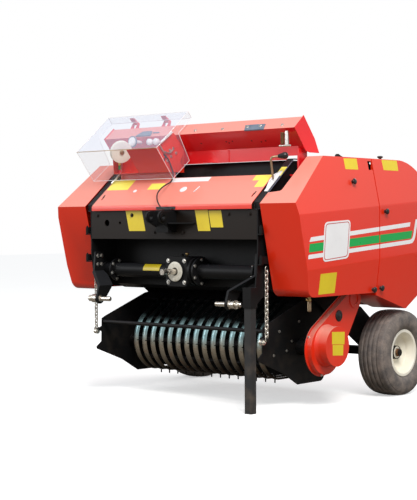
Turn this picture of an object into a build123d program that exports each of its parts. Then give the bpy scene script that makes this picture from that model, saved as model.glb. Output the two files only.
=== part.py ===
from build123d import *
import math
import os

# Mini round baler for a small tractor, carried on the three-point hitch and two tyres.
# Millimetres. +X is the machine's left side, -Y the direction of travel, +Z up, Z = 0 the ground.
# Side outlines are drawn on YZ planes and run out along X. Places along Y are worked out from the
# hood's front edge, and the origin is midway between the top-link ears and the back of the tyres.

os.makedirs("parts", exist_ok=True)

# ---------------------------------------------------------------- driving sizes
hood_to_axle = 1153.0          # hood's front edge to the wheel centres
hitch_reach = 130.0            # top-link ears ahead of the hood's front edge
tyre_r = 258.6
tyre_width = 200.0
wheel_z = tyre_r - 5.0         # a loaded tyre stands a little lower than its free radius
machine_half = 931.0           # outer plane of the side covers
top_z = 1403.0                 # flat top of the covers
hood_front_z = 1141.0
hood_half = 618.0
slope_run = 319.0              # from the hood's front edge back to where the slope meets the flat top
split_run = 783.0              # from the hood's front edge back to the joint with the tailgate
sheet = 3.0                    # body panels
plate = 8.0                    # frame plates
joint_gap = 8.0                # open joint between the front body and the tailgate
running = 0.05                 # radial clearance of a shaft in its bush
seat = 0.3                     # gap between pieces that only rest on each other

# ---------------------------------------------------------------- places
hood_y = -(hood_to_axle + tyre_r - hitch_reach) / 2
axle_y = hood_y + hood_to_axle
split_y = hood_y + split_run
plateau_y = hood_y + slope_run
slope = math.atan2(top_z - hood_front_z, slope_run)   # the hood and everything above share this slope


def side_plane(x):
    """Plane seen from the machine's left, at distance x from the middle: local x is Y, local y is Z."""
    return Plane.YZ.offset(x)


def outline(plane, points):
    """Closed straight-sided face on a plane."""
    with BuildSketch(plane) as face:
        with BuildLine():
            Polyline(*points, close=True)
        make_face()
    return face.sketch


def folded(plane, points, thickness, side=Side.LEFT):
    """Section of a sheet folded along the given points, its thickness laid to one side of the path."""
    with BuildSketch(plane) as face:
        with BuildLine():
            path = Polyline(*points)
            offset(path, amount=thickness, side=side, kind=Kind.INTERSECTION, closed=True)
        make_face()
    return face.sketch


def ring(plane, outer, inner):
    """Washer-shaped face on a plane."""
    with BuildSketch(plane) as face:
        Circle(outer)
        Circle(inner, mode=Mode.SUBTRACT)
    return face.sketch


def rod(plane, radius):
    """Round face on a plane."""
    with BuildSketch(plane) as face:
        Circle(radius)
    return face.sketch


def block(plane, width, height):
    """Rectangular face centred on a plane's origin."""
    with BuildSketch(plane) as face:
        Rectangle(width, height)
    return face.sketch


def up_slope(run):
    """Height that the common slope gains over a horizontal run."""
    return run * math.tan(slope)


def save(builder, name):
    """Label a finished piece and write it."""
    builder.part.label = name
    export_step(builder.part, "parts/" + name + ".step")


sides = (("left", 1), ("right", -1))

# ================================================================ frame
frame_in = hood_half + 22              # inner face of the side plates
frame_out = frame_in + plate
frame_top_z = top_z - 20
beam_y = hood_y + 20
beam_sheet = 6.0
beam_bottom_z = 945.0
beam_flange = 64.0
split_front_y = split_y - joint_gap / 2
split_back_y = split_y + joint_gap / 2
chamber_y = hood_y + 790
chamber_z = 930.0
strut_width = 70.0
axle_tube = 50.0
channel_in = hood_half + 4             # grey channel that closes the slot between hood and cover
channel_out = frame_out + 22
channel_drop = 8.0                     # the channel lies this far below the hood's line

# pickup drive and float pivot
pivot_y = hood_y + 705
pivot_z = 595.0
pivot_r = 20.0

# hinges of the side covers
hinge_x = frame_out + 24
hinge_y = hood_y + 14
hinge_pin = 5.0
hinge_knuckle = 9.0
hinge_length = 40.0
hinge_levels = (812.0, 976.0)

# tailgate hinge
gate_in = frame_in
gate_pin_y = split_y + 6
gate_pin_z = top_z + 16
gate_pin_r = 10.0

# lift chains and parking stand
chain_x = frame_out + 12
chain_y = hood_y + 75
chain_top_z = 790.0                     # pin that each chain hangs on
chain_pin = 3.7
chain_head = 9.0
link_wire = 6.0
link_width = 20.0
link_length = 36.0
chain_links = 19
link_pitch = link_length - 2 * link_wire - 3.0
link_top_z = chain_top_z + chain_pin + seat + link_wire - link_length / 2   # middle of the top link
chain_low_z = link_top_z - (chain_links - 1) * link_pitch - link_length / 2 + link_wire + chain_pin + seat
leg_x = frame_in - 10
leg_y = hood_y - 30
leg_size = 46.0
leg_top_z = 672.0
socket_wall = 5.0
socket_z = 575.0
socket_height = 110.0
socket_size = leg_size + 2 * (socket_wall + 0.6)

# Side frames: chamber walls ahead of the joint, with the axle's struts running back under the tailgate.
for side, s in sides:
    with BuildPart() as side_frame:
        extrude(
            outline(
                side_plane(s * frame_in),
                [
                    (beam_y, hood_front_z - 20),
                    (plateau_y, frame_top_z - 12),
                    (plateau_y + 30, frame_top_z),
                    (split_front_y, frame_top_z),
                    (split_front_y, pivot_z + 3),
                    (axle_y - 143, wheel_z + 276),
                    (axle_y + strut_width / 2, wheel_z + 150),
                    (axle_y + strut_width / 2, wheel_z - strut_width / 2),
                    (axle_y - strut_width / 2, wheel_z - strut_width / 2),
                    (pivot_y - 60, pivot_z - 75),
                    (hood_y + 470, 640),
                    (hood_y + 150, 660),
                    (hood_y + 40, 720),
                    (beam_y, 860),
                ],
            ),
            amount=s * plate,
        )
        extrude(
            block(side_plane(s * frame_in) * Pos(axle_y, wheel_z), axle_tube + 2 * seat, axle_tube + 2 * seat),
            amount=s * plate,
            mode=Mode.SUBTRACT,
        )
        # channel along the slope, welded over the plate's edge
        extrude(
            folded(
                side_plane(s * channel_in),
                [
                    (plateau_y + 90, hood_front_z + up_slope(slope_run) - channel_drop),
                    (plateau_y, hood_front_z + up_slope(slope_run) - channel_drop),
                    (beam_y, hood_front_z + up_slope(beam_y - hood_y) - channel_drop),
                    (beam_y, hood_front_z - 30),
                ],
                4,
            ),
            amount=s * (channel_out - channel_in),
        )
        # stub that the pickup floats on
        extrude(rod(side_plane(s * frame_in) * Pos(pivot_y, pivot_z), pivot_r), amount=-s * 26)
        # lugs and pins of the side cover's hinges
        for level in hinge_levels:
            extrude(
                outline(
                    Plane.XY.offset(level - 7),
                    [
                        (s * frame_in, hinge_y + 7),
                        (s * (hinge_x - 7), hinge_y - 7),
                        (s * (hinge_x + 7), hinge_y - 7),
                        (s * (hinge_x + 7), hinge_y + 7),
                        (s * (frame_out + 8), hinge_y + 46),
                        (s * frame_in, hinge_y + 46),
                    ],
                ),
                amount=6,
            )
            with Locations((s * hinge_x, hinge_y, level - 4)):
                Cylinder(hinge_pin, hinge_length + 12, align=(Align.CENTER, Align.CENTER, Align.MIN))
        # lug and pin of the tailgate hinge
        extrude(
            outline(
                side_plane(s * frame_in),
                [
                    (gate_pin_y + 16, gate_pin_z),
                    (gate_pin_y, gate_pin_z + 16),
                    (gate_pin_y - 20, gate_pin_z + 10),
                    (split_front_y - 110, top_z - 8),
                    (split_front_y - 110, frame_top_z - 40),
                    (split_front_y, frame_top_z - 40),
                    (split_front_y, top_z - 8),
                ],
            ),
            amount=s * (plate + 2),
        )
        extrude(rod(side_plane(s * (gate_in - 16)) * Pos(gate_pin_y, gate_pin_z), gate_pin_r), amount=s * 26)
        # pin that the lift chain hangs on
        pin_length = chain_x + link_wire / 2 + 2 - frame_out
        extrude(rod(side_plane(s * frame_out) * Pos(chain_y, chain_top_z), chain_pin), amount=s * pin_length)
        extrude(
            rod(side_plane(s * (frame_out + pin_length)) * Pos(chain_y, chain_top_z), chain_head), amount=s * 4
        )
        if s > 0:
            # socket of the parking leg
            with BuildSketch(Plane.XY.offset(socket_z)):
                with Locations((leg_x, leg_y)):
                    Rectangle(socket_size, socket_size)
                    Rectangle(leg_size + 1.2, leg_size + 1.2, mode=Mode.SUBTRACT)
            extrude(amount=socket_height)
            # gusset between the socket and the plate
            socket_back_y = leg_y + socket_size / 2
            extrude(
                outline(
                    side_plane(frame_in),
                    [
                        (socket_back_y, socket_z + 10),
                        (socket_back_y, socket_z + socket_height),
                        (beam_y, 880),
                        (hood_y + 80, 880),
                        (hood_y + 150, 690),
                        (hood_y + 60, 630),
                    ],
                ),
                amount=plate,
            )
    save(side_frame, "side_frame_" + side)

# Front beam: folded channel right under the hood, between the side frames.
hood_under = sheet / math.cos(slope) + seat
with BuildPart() as front_beam:
    extrude(
        folded(
            side_plane(-frame_in),
            [
                (beam_y + beam_flange, beam_bottom_z),
                (beam_y, beam_bottom_z),
                (beam_y, hood_front_z + up_slope(beam_y - hood_y) - hood_under),
                (beam_y + beam_flange, hood_front_z + up_slope(beam_y - hood_y + beam_flange) - hood_under),
            ],
            beam_sheet,
            Side.RIGHT,
        ),
        amount=2 * frame_in,
    )
    # ends notched for the side frames' channels
    for s in (1, -1):
        with Locations((s * frame_in, beam_y + beam_flange / 2, hood_front_z)):
            Box(2 * (frame_in - channel_in + seat), 2 * beam_flange, 2 * (30 + seat), mode=Mode.SUBTRACT)
        with Locations((s * frame_in, beam_y + beam_flange / 2, hood_front_z + up_slope(beam_flange))):
            Box(2 * (frame_in - channel_in + seat), 2 * beam_flange, 80, mode=Mode.SUBTRACT)
    for hole_x, hole_r in ((-509, 20), (-401, 9)):
        with Locations(Plane(origin=(hole_x, beam_y, 1040), z_dir=(0, -1, 0))):
            Hole(hole_r, depth=beam_sheet * 2)
save(front_beam, "front_beam")

# Hood: sloping sheet with a turned-down lip.
hood_run = 198.0
hood_lip = 28.0
hood_slope = Plane(
    origin=(0, hood_y, hood_front_z), x_dir=(1, 0, 0), z_dir=(0, -math.sin(slope), math.cos(slope))
)
with BuildPart() as hood:
    extrude(
        folded(
            side_plane(-hood_half),
            [
                (hood_y + hood_run, hood_front_z + up_slope(hood_run)),
                (hood_y, hood_front_z),
                (hood_y, hood_front_z - hood_lip),
            ],
            sheet,
        ),
        amount=2 * hood_half,
    )
    with BuildSketch(hood_slope):
        with Locations((-hood_half + 36, 78), (hood_half - 36, 78)):
            SlotOverall(34, 10, rotation=90)
    extrude(amount=-20, mode=Mode.SUBTRACT)
save(hood, "hood")

# Front sheet: closes the space behind the cross tube down to the crop inlet.
front_sheet_y = hood_y + 232
front_sheet_z = 668.0
with BuildPart() as front_sheet:
    extrude(
        folded(
            side_plane(-frame_in),
            [
                (plateau_y + 30, frame_top_z + seat + 1),
                (front_sheet_y, hood_front_z + 9),
                (front_sheet_y, front_sheet_z),
                (front_sheet_y + 70, front_sheet_z - 26),
            ],
            4,
        ),
        amount=2 * frame_in,
    )
    # flat top over the chamber, resting on the side frames
    with Locations((0, (plateau_y + 20 + split_front_y) / 2, frame_top_z + seat)):
        Box(2 * frame_in - 60, split_front_y - plateau_y - 20, 4, align=(Align.CENTER, Align.CENTER, Align.MIN))
save(front_sheet, "front_sheet")

# ================================================================ hitch and drive
tube_y = hood_y + 150
tube_z = 757.0
tube_r = 42.0
box_half = 82.0                        # gearbox body, half width
box_front_y = tube_y - 76
box_flange = 46.0                      # bolted flange on the gearbox's left

with BuildPart() as gearbox:
    with BuildSketch(Plane.XZ.offset(-box_front_y)):
        with Locations((0, tube_z)):
            RectangleRounded(2 * box_half, 172, 26)
    extrude(amount=-158)
    extrude(rod(side_plane(box_half) * Pos(tube_y, tube_z), 80), amount=16)
    extrude(rod(side_plane(box_half + 16) * Pos(tube_y, tube_z), 64), amount=box_flange - 28)
    extrude(rod(side_plane(box_half + box_flange - 12) * Pos(tube_y, tube_z), 80), amount=12)
    extrude(rod(side_plane(-box_half) * Pos(tube_y, tube_z), 62), amount=-12)
    with Locations(Plane(origin=(0, box_front_y, tube_z), z_dir=(0, -1, 0))):
        Cylinder(58, 10, align=(Align.CENTER, Align.CENTER, Align.MIN))
        Hole(17.45 + running, depth=56)
    # filler plug
    with Locations((6, tube_y - 30, tube_z + 86)):
        Cylinder(9, 16, align=(Align.CENTER, Align.CENTER, Align.MIN))
save(gearbox, "gearbox")

# Input shaft: 1-3/8 in stub with six splines and a lock groove.
shaft_r = 17.45
shaft_front_y = hood_y - 48
shaft_back_y = box_front_y + 42
groove_run = 38.0                      # from the shaft's end to the lock groove
with BuildPart() as input_shaft:
    with Locations(Plane(origin=(0, shaft_front_y, tube_z), z_dir=(0, 1, 0))):
        Cylinder(shaft_r, shaft_back_y - shaft_front_y, align=(Align.CENTER, Align.CENTER, Align.MIN))
    with BuildSketch(Plane(origin=(0, shaft_front_y, tube_z), z_dir=(0, 1, 0))):
        with PolarLocations(shaft_r, 6):
            Rectangle(4.4, 4.6)
    extrude(amount=76, mode=Mode.SUBTRACT)
    extrude(
        ring(Plane(origin=(0, shaft_front_y + groove_run, tube_z), z_dir=(0, 1, 0)), shaft_r + 1, 14.7),
        amount=7,
        mode=Mode.SUBTRACT,
    )
save(input_shaft, "input_shaft")

guard_r = 57.0
with BuildPart() as guard_disc:
    extrude(ring(Plane(origin=(0, box_front_y - 10, tube_z), z_dir=(0, -1, 0)), guard_r, shaft_r + 6), amount=5)
save(guard_disc, "guard_disc")

# Cross tube: drive shaft housing between the gearbox and the side frames.
tube_flange_x = 545.0
with BuildPart() as cross_tube:
    for start, end in ((box_half + box_flange, frame_in), (-box_half - 12, -frame_in)):
        extrude(rod(side_plane(start) * Pos(tube_y, tube_z), tube_r), amount=end - start)
    for s in (1, -1):
        extrude(rod(side_plane(s * tube_flange_x) * Pos(tube_y, tube_z), 68), amount=s * 12)
        extrude(rod(side_plane(s * (frame_in - 14)) * Pos(tube_y, tube_z), 50), amount=s * 14)
save(cross_tube, "cross_tube")

# Lower hitch arms: flat bars bent inwards, cut to a strip that ends in an eye.
lower_y = hood_y - 55
lower_z = 591.0
lower_r = 14.0                         # category 2 lower pin
lower_reach = 85.0                     # free end and collar inside the arm
lower_collar = 8.0
lower_length = 182.0
arm_thick = 14.0
arm_gap = 8.0                          # spacer between arm and side plate
arm_top_x = frame_in - arm_gap - arm_thick
arm_low_x = 494.0
arm_eye_r = 31.0
arm_top_z = 866.0
for side, s in sides:
    with BuildPart() as hitch_arm:
        with BuildSketch(Plane.XZ.offset(-(hood_y + 108))):
            with BuildLine():
                bar = Polyline(
                    (s * arm_top_x, arm_top_z),
                    (s * arm_top_x, 752),
                    (s * arm_low_x, 668),
                    (s * arm_low_x, lower_z - arm_eye_r - 4),
                )
                offset(bar, amount=arm_thick, side=Side.LEFT if s > 0 else Side.RIGHT, closed=True)
            make_face()
        extrude(amount=200)
        with BuildSketch(side_plane(s * (arm_low_x - 10))):
            with Locations((lower_y, lower_z)):
                Circle(arm_eye_r)
            with BuildLine():
                Polyline(
                    (lower_y - arm_eye_r, lower_z),
                    (lower_y - 8, lower_z + 70),
                    (hood_y + 20, 752),
                    (hood_y + 30, arm_top_z),
                    (hood_y + 98, arm_top_z),
                    (hood_y + 98, 728),
                    (lower_y + 62, lower_z + 20),
                    (lower_y + 20, lower_z - 24),
                    close=True,
                )
            make_face()
        extrude(amount=s * 200, mode=Mode.INTERSECT)
        # spacer to the side frame
        with Locations((s * (frame_in - arm_gap / 2), hood_y + 64, 815)):
            Box(arm_gap, 56, 84)
        with Locations(Plane(origin=(s * (arm_low_x - 30), lower_y, lower_z), z_dir=(s, 0, 0))):
            Cylinder(lower_r + running, 90, align=(Align.CENTER, Align.CENTER, Align.MIN), mode=Mode.SUBTRACT)
    save(hitch_arm, "hitch_arm_" + side)
    # Lower pin: plain end inwards, collar and nut outside the arm.
    with BuildPart() as lower_pin:
        start = arm_low_x - lower_reach
        extrude(rod(side_plane(s * start) * Pos(lower_y, lower_z), lower_r), amount=s * lower_length)
        extrude(ring(side_plane(s * (arm_low_x + arm_thick + seat)) * Pos(lower_y, lower_z), 26, 5), amount=s * 44)
        with BuildSketch(side_plane(s * (arm_low_x + arm_thick + 52)) * Pos(lower_y, lower_z)):
            RegularPolygon(21, 6)
        extrude(amount=s * 20)
        extrude(ring(side_plane(s * (arm_low_x - seat)) * Pos(lower_y, lower_z), 20, 5), amount=-s * lower_collar)
    save(lower_pin, "lower_pin_" + side)

# Top-link bracket: clevis with bushes, welded to the beam's face.
top_link_y = hood_y - 97
top_link_z = 1072.0
top_link_r = 12.9                      # category 2 top-link pin
ear_x = 47.0
ear_thick = 12.0
with BuildPart() as toplink_bracket:
    for s in (1, -1):
        with BuildSketch(side_plane(s * (ear_x - ear_thick / 2))):
            with BuildLine():
                Polyline(
                    (top_link_y, top_link_z + 33),
                    (beam_y, top_link_z + 36),
                    (beam_y, top_link_z - 88),
                    (top_link_y, top_link_z - 33),
                    close=True,
                )
            make_face()
            with Locations((top_link_y, top_link_z)):
                Circle(33)
        extrude(amount=s * ear_thick)
        extrude(rod(side_plane(s * (ear_x - ear_thick / 2 - 5)) * Pos(top_link_y, top_link_z), 24), amount=s * 24)
    with BuildSketch(Plane.XY.offset(top_link_z - 88)):
        with Locations((0, beam_y - 34)):
            Rectangle(2 * ear_x, 68)
            Rectangle(2 * ear_x - 16, 52, mode=Mode.SUBTRACT)
    extrude(amount=124)
    extrude(
        outline(
            Plane.XY.offset(top_link_z - 40),
            [(ear_x, beam_y - 78), (ear_x + 20, beam_y - 84), (ear_x + 146, beam_y - 14), (ear_x + 146, beam_y), (ear_x, beam_y)],
        ),
        amount=8,
    )
    with Locations(Plane(origin=(-100, top_link_y, top_link_z), z_dir=(1, 0, 0))):
        Cylinder(top_link_r, 200, align=(Align.CENTER, Align.CENTER, Align.MIN), mode=Mode.SUBTRACT)
save(toplink_bracket, "toplink_bracket")

# Parking leg, sliding in the left side frame's socket.
with BuildPart() as stand_leg:
    with BuildSketch(Plane.XY):
        with Locations((leg_x, leg_y)):
            Rectangle(leg_size, leg_size)
            Rectangle(leg_size - 8, leg_size - 8, mode=Mode.SUBTRACT)
    extrude(amount=leg_top_z)
    with Locations((leg_x, leg_y, 0)):
        Box(leg_size, leg_size, 8, align=(Align.CENTER, Align.CENTER, Align.MIN))
save(stand_leg, "stand_leg")

# ================================================================ wheels
axle_half = frame_out + 24
spindle_r = 20.0
wheel_x = axle_half + tyre_width / 2 + 7   # middle of the tyre
rim_flange_r = 141.0
rim_seat_r = 127.0
rim_half = 80.0
hub_out_x = wheel_x + 32
with BuildPart() as axle:
    extrude(block(side_plane(-axle_half) * Pos(axle_y, wheel_z), axle_tube, axle_tube), amount=2 * axle_half)
    for s in (1, -1):
        extrude(rod(side_plane(s * axle_half) * Pos(axle_y, wheel_z), spindle_r), amount=s * (hub_out_x + 22 - axle_half))
save(axle, "axle")

for side, s in sides:
    wheel_plane = Plane(origin=(0, axle_y, wheel_z), x_dir=(s, 0, 0), z_dir=(0, -s, 0))
    wheel_axis = Axis((0, axle_y, wheel_z), (s, 0, 0))
    with BuildPart() as tyre:
        with BuildSketch(wheel_plane):
            with BuildLine():
                Polyline(
                    (wheel_x - rim_half + 6, rim_seat_r + seat),
                    (wheel_x - rim_half + 4, rim_flange_r + 2),
                    (wheel_x - tyre_width / 2, rim_flange_r + 40),
                )
                ThreePointArc(
                    (wheel_x - tyre_width / 2, rim_flange_r + 40),
                    (wheel_x - tyre_width / 2 + 5, tyre_r - 40),
                    (wheel_x - tyre_width / 2 + 22, tyre_r - 8),
                )
                ThreePointArc(
                    (wheel_x - tyre_width / 2 + 22, tyre_r - 8),
                    (wheel_x, tyre_r),
                    (wheel_x + tyre_width / 2 - 22, tyre_r - 8),
                )
                ThreePointArc(
                    (wheel_x + tyre_width / 2 - 22, tyre_r - 8),
                    (wheel_x + tyre_width / 2 - 5, tyre_r - 40),
                    (wheel_x + tyre_width / 2, rim_flange_r + 40),
                )
                Polyline(
                    (wheel_x + tyre_width / 2, rim_flange_r + 40),
                    (wheel_x + rim_half - 4, rim_flange_r + 2),
                    (wheel_x + rim_half - 6, rim_seat_r + seat),
                    (wheel_x - rim_half + 6, rim_seat_r + seat),
                )
            make_face()
        revolve(axis=wheel_axis)
    save(tyre, "tyre_" + side)
    # Deep-dished rim with its hub.
    with BuildPart() as rim:
        with BuildSketch(wheel_plane):
            with BuildLine():
                Polyline(
                    (wheel_x - rim_half, rim_flange_r),
                    (wheel_x - rim_half + 4, rim_flange_r),
                    (wheel_x - rim_half + 5, rim_seat_r),
                    (wheel_x + rim_half - 5, rim_seat_r),
                    (wheel_x + rim_half - 4, rim_flange_r),
                    (wheel_x + rim_half, rim_flange_r),
                    (wheel_x + rim_half, rim_seat_r - 4),
                    (wheel_x + 18, rim_seat_r - 10),
                    (wheel_x + 4, 60),
                    (wheel_x + 8, 38),
                    (hub_out_x, 36),
                    (hub_out_x, spindle_r + running),
                    (axle_half + 6, spindle_r + running),
                    (axle_half + 6, 38),
                    (wheel_x, 38),
                    (wheel_x - 4, 60),
                    (wheel_x + 4, rim_seat_r - 10),
                    (wheel_x - rim_half, rim_seat_r - 4),
                    close=True,
                )
            make_face()
        revolve(axis=wheel_axis)
    save(rim, "rim_" + side)

# ================================================================ pickup
reel_y = hood_y + 425
reel_z = 328.0
band_r = 195.0
band_pitch = 68.6
band_count = 15
band_width = 36.0
band_sheet = 3.0
band_rise = math.radians(30)           # slope of the straight run up to the inlet
band_end_y = hood_y + 480
tine_r = 216.0
shield_x = frame_in - 18
shield_sheet = 6.0
shield_low_z = reel_z - band_r - 15
band_low_y = hood_y + 640              # rear ends of the bands, under the rear bar
rear_bar = 40.0
guard_bar_y = hood_y + 100
guard_bar_z = 439.0
guard_bar_r = 11.0
deck_z = reel_z + band_r / math.cos(band_rise) + (band_end_y - reel_y) * math.tan(band_rise)

for side, s in sides:
    with BuildPart() as shield:
        with BuildSketch(side_plane(s * shield_x)):
            with BuildLine():
                Polyline(
                    (guard_bar_y + 14, guard_bar_z + 34),
                    (hood_y + 470, 600),
                    (pivot_y - 10, pivot_z + 42),
                )
                ThreePointArc(
                    (pivot_y - 10, pivot_z + 42),
                    (pivot_y + 42, pivot_z + 4),
                    (pivot_y, pivot_z - 42),
                )
                Polyline((pivot_y, pivot_z - 42), (band_low_y + 18, 300), (band_low_y + 18, shield_low_z + 44))
                ThreePointArc(
                    (band_low_y + 18, shield_low_z + 44),
                    (band_low_y + 6, shield_low_z + 13),
                    (band_low_y - 26, shield_low_z),
                )
                Polyline(
                    (band_low_y - 26, shield_low_z),
                    (hood_y + 400, shield_low_z),
                    (hood_y + 260, 196),
                    (hood_y + 45, 276),
                    (hood_y + 40, 290),
                    (guard_bar_y - 18, 320),
                    (guard_bar_y - 14, guard_bar_z + 20),
                    (guard_bar_y + 14, guard_bar_z + 34),
                )
            make_face()
        extrude(amount=s * shield_sheet)
        extrude(
            ring(side_plane(s * shield_x) * Pos(pivot_y, pivot_z), pivot_r + 16, pivot_r + running),
            amount=s * (frame_in - shield_x - 1),
        )
        # bolt that the lift chain's lower end hangs on
        lug_x = s * (shield_x + shield_sheet)
        extrude(
            outline(
                side_plane(s * shield_x),
                [
                    (guard_bar_y, chain_low_z - 24),
                    (chain_y - 12, chain_low_z - 8),
                    (chain_y - 12, chain_low_z + 8),
                    (guard_bar_y, chain_low_z + 24),
                ],
            ),
            amount=s * shield_sheet,
        )
        extrude(rod(side_plane(lug_x) * Pos(chain_y, chain_low_z), chain_head), amount=s * (frame_in - shield_x))
        bolt_length = chain_x + link_wire / 2 + 4 - shield_x - shield_sheet
        extrude(rod(side_plane(lug_x) * Pos(chain_y, chain_low_z), chain_pin), amount=s * bolt_length)
        extrude(rod(side_plane(lug_x + s * bolt_length) * Pos(chain_y, chain_low_z), chain_head), amount=s * 5)
        with Locations(Plane(origin=(s * (shield_x - 10), pivot_y, pivot_z), z_dir=(s, 0, 0))):
            Cylinder(pivot_r + running, 60, align=(Align.CENTER, Align.CENTER, Align.MIN), mode=Mode.SUBTRACT)
        with Locations(Plane(origin=(s * (shield_x - 10), reel_y, reel_z), z_dir=(s, 0, 0))):
            Cylinder(18 + running, 60, align=(Align.CENTER, Align.CENTER, Align.MIN), mode=Mode.SUBTRACT)
    save(shield, "pickup_shield_" + side)

# Guard bar, rear tube and deck that tie the two shields together.
with BuildPart() as pickup_frame:
    extrude(rod(side_plane(-shield_x) * Pos(guard_bar_y, guard_bar_z), guard_bar_r), amount=2 * shield_x)
    extrude(
        folded(
            side_plane(-shield_x),
            [
                (band_end_y - 30, deck_z - 30 * math.tan(band_rise) - band_sheet / math.cos(band_rise) - seat),
                (hood_y + 640, pivot_z + 44),
                (pivot_y + 30, pivot_z + 44),
            ],
            4,
            Side.RIGHT,
        ),
        amount=2 * shield_x,
    )
    with BuildSketch(side_plane(-shield_x)):
        with Locations((band_low_y - rear_bar / 2 - 2, reel_z - band_r + band_sheet + seat + rear_bar / 2)):
            Rectangle(rear_bar, rear_bar)
    extrude(amount=2 * shield_x)
    # sheet that closes the pickup behind the reel
    extrude(
        folded(
            side_plane(-shield_x),
            [
                (band_low_y + 12, pivot_z + 42),
                (band_low_y + 12, reel_z - band_r + 23),
                (band_low_y - 10, reel_z - band_r + 23),
            ],
            sheet,
            Side.RIGHT,
        ),
        amount=2 * shield_x,
    )
save(pickup_frame, "pickup_frame")

# Stripper bands: sheet strips bent round the reel, open to the rear.
front_angle = math.pi / 2 + band_rise
rise_start = (reel_y + band_r * math.cos(front_angle), reel_z + band_r * math.sin(front_angle))
band_low = (band_low_y, reel_z - band_r)
with BuildPart() as pickup_bands:
    for i in range(band_count):
        x = (i - (band_count - 1) / 2) * band_pitch - band_width / 2
        with BuildSketch(side_plane(x)):
            with BuildLine():
                l1 = Line((band_end_y, deck_z), rise_start)
                l2 = ThreePointArc(rise_start, (reel_y - band_r, reel_z), (reel_y, reel_z - band_r))
                l3 = Line((reel_y, reel_z - band_r), (band_low[0], band_low[1]))
                l4 = Line((band_low[0], band_low[1]), (band_low[0], band_low[1] + band_sheet))
                l5 = Line((band_low[0], band_low[1] + band_sheet), (reel_y, reel_z - band_r + band_sheet))
                l6 = ThreePointArc(
                    (reel_y, reel_z - band_r + band_sheet),
                    (reel_y - band_r + band_sheet, reel_z),
                    (rise_start[0] - band_sheet * math.cos(front_angle), rise_start[1] - band_sheet * math.sin(front_angle)),
                )
                l7 = Line(
                    l6 @ 1,
                    (band_end_y - band_sheet * math.cos(front_angle), deck_z - band_sheet * math.sin(front_angle)),
                )
                l8 = Line(l7 @ 1, (band_end_y, deck_z))
            make_face()
        extrude(amount=band_width)
save(pickup_bands, "pickup_bands")

# Reel: shaft, three spiders and four tine bars, tines standing in the gaps between the bands.
bar_count = 4
bar_r = 118.0
bar_tube = 12.0
tine_wire = 3.0
with BuildPart() as pickup_reel:
    extrude(rod(side_plane(-shield_x - shield_sheet) * Pos(reel_y, reel_z), 18), amount=2 * shield_x + 2 * shield_sheet)
    for x in (-580, 0, 574):
        with BuildSketch(side_plane(x) * Pos(reel_y, reel_z)):
            Circle(40)
            with PolarLocations(0, bar_count):
                with Locations((bar_r / 2, 0)):
                    Rectangle(bar_r, 30)
            with PolarLocations(bar_r, bar_count):
                Circle(20)
        extrude(amount=6)
    for k in range(bar_count):
        a = 2 * math.pi * k / bar_count
        cy, cz = reel_y + bar_r * math.cos(a), reel_z + bar_r * math.sin(a)
        extrude(rod(side_plane(-590) * Pos(cy, cz), bar_tube), amount=1180)
        for i in range(band_count - 1):
            x = (i + 1 - band_count / 2) * band_pitch
            reach = tine_r - bar_r
            out = Plane(origin=(x, cy, cz), z_dir=(0, math.cos(a), math.sin(a)))
            with BuildSketch(out):
                Rectangle(2 * tine_wire, 2 * tine_wire)
            extrude(amount=reach)
save(pickup_reel, "pickup_reel")

# Chain cover on the machine's left: pear-shaped dish with a deep round lobe over the reel's end.
case_x = shield_x + 150
case_flange = 5.0
case_step = 38.0
case_face_x = case_x + 113
drum_slope = 25.0
lobe_r = 155.0
drum_r = 112.0
drum_y = reel_y + 3
drum_z = reel_z + 18
top_lobe_r = 75.0


def pear(plane, low_r, top_r):
    """Two circles over the reel and the pivot, joined by their outer tangents."""
    with BuildSketch(plane) as face:
        low = (reel_y, reel_z)
        top = (pivot_y, pivot_z)
        run = math.hypot(top[0] - low[0], top[1] - low[1])
        along = math.atan2(top[1] - low[1], top[0] - low[0])
        lean = math.acos((low_r - top_r) / run)
        with Locations(low):
            Circle(low_r)
        with Locations(top):
            Circle(top_r)
        with BuildLine():
            Polyline(
                *[
                    (c[0] + r * math.cos(along + turn * lean), c[1] + r * math.sin(along + turn * lean))
                    for c, r, turn in ((low, low_r, 1), (top, top_r, 1), (top, top_r, -1), (low, low_r, -1))
                ],
                close=True,
            )
        make_face()
    return face.sketch


with BuildPart() as chain_case:
    extrude(pear(side_plane(case_x), lobe_r, top_lobe_r), amount=case_flange)
    extrude(pear(side_plane(case_x), lobe_r - 12, top_lobe_r - 12), amount=case_step)
    with BuildSketch(side_plane(case_x + case_step) * Pos(drum_y, drum_z)):
        Circle(drum_r + 8)
    with BuildSketch(side_plane(case_x + case_step + drum_slope) * Pos(drum_y, drum_z)):
        Circle(drum_r)
    loft()
    drum_back_x = case_x + case_step + drum_slope
    extrude(rod(side_plane(drum_back_x) * Pos(drum_y, drum_z), drum_r), amount=case_face_x - drum_back_x)
    extrude(ring(side_plane(case_x + case_step) * Pos(pivot_y, pivot_z), 52, 30), amount=6)
    # hollow behind
    extrude(pear(side_plane(case_x), lobe_r - 16, top_lobe_r - 16), amount=case_step - 3, mode=Mode.SUBTRACT)
    extrude(
        rod(side_plane(case_x) * Pos(drum_y, drum_z), drum_r - 4), amount=case_face_x - case_x - 4, mode=Mode.SUBTRACT
    )
save(chain_case, "chain_case")

# Drive tubes that carry the chain case off the pickup's left shield.
with BuildPart() as case_mount:
    extrude(ring(side_plane(shield_x + shield_sheet) * Pos(reel_y, reel_z), 46, 24), amount=case_x - shield_x - shield_sheet)
    extrude(pear(side_plane(case_x - 6), lobe_r - 2, top_lobe_r - 2), amount=6 - seat)
save(case_mount, "case_mount")

# ================================================================ chamber rollers
roller_r = 55.0
roller_ring = 370.0                    # pitch radius of the rollers round the bale
roller_half = frame_in - 34
roller_shaft = 20.0


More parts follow.
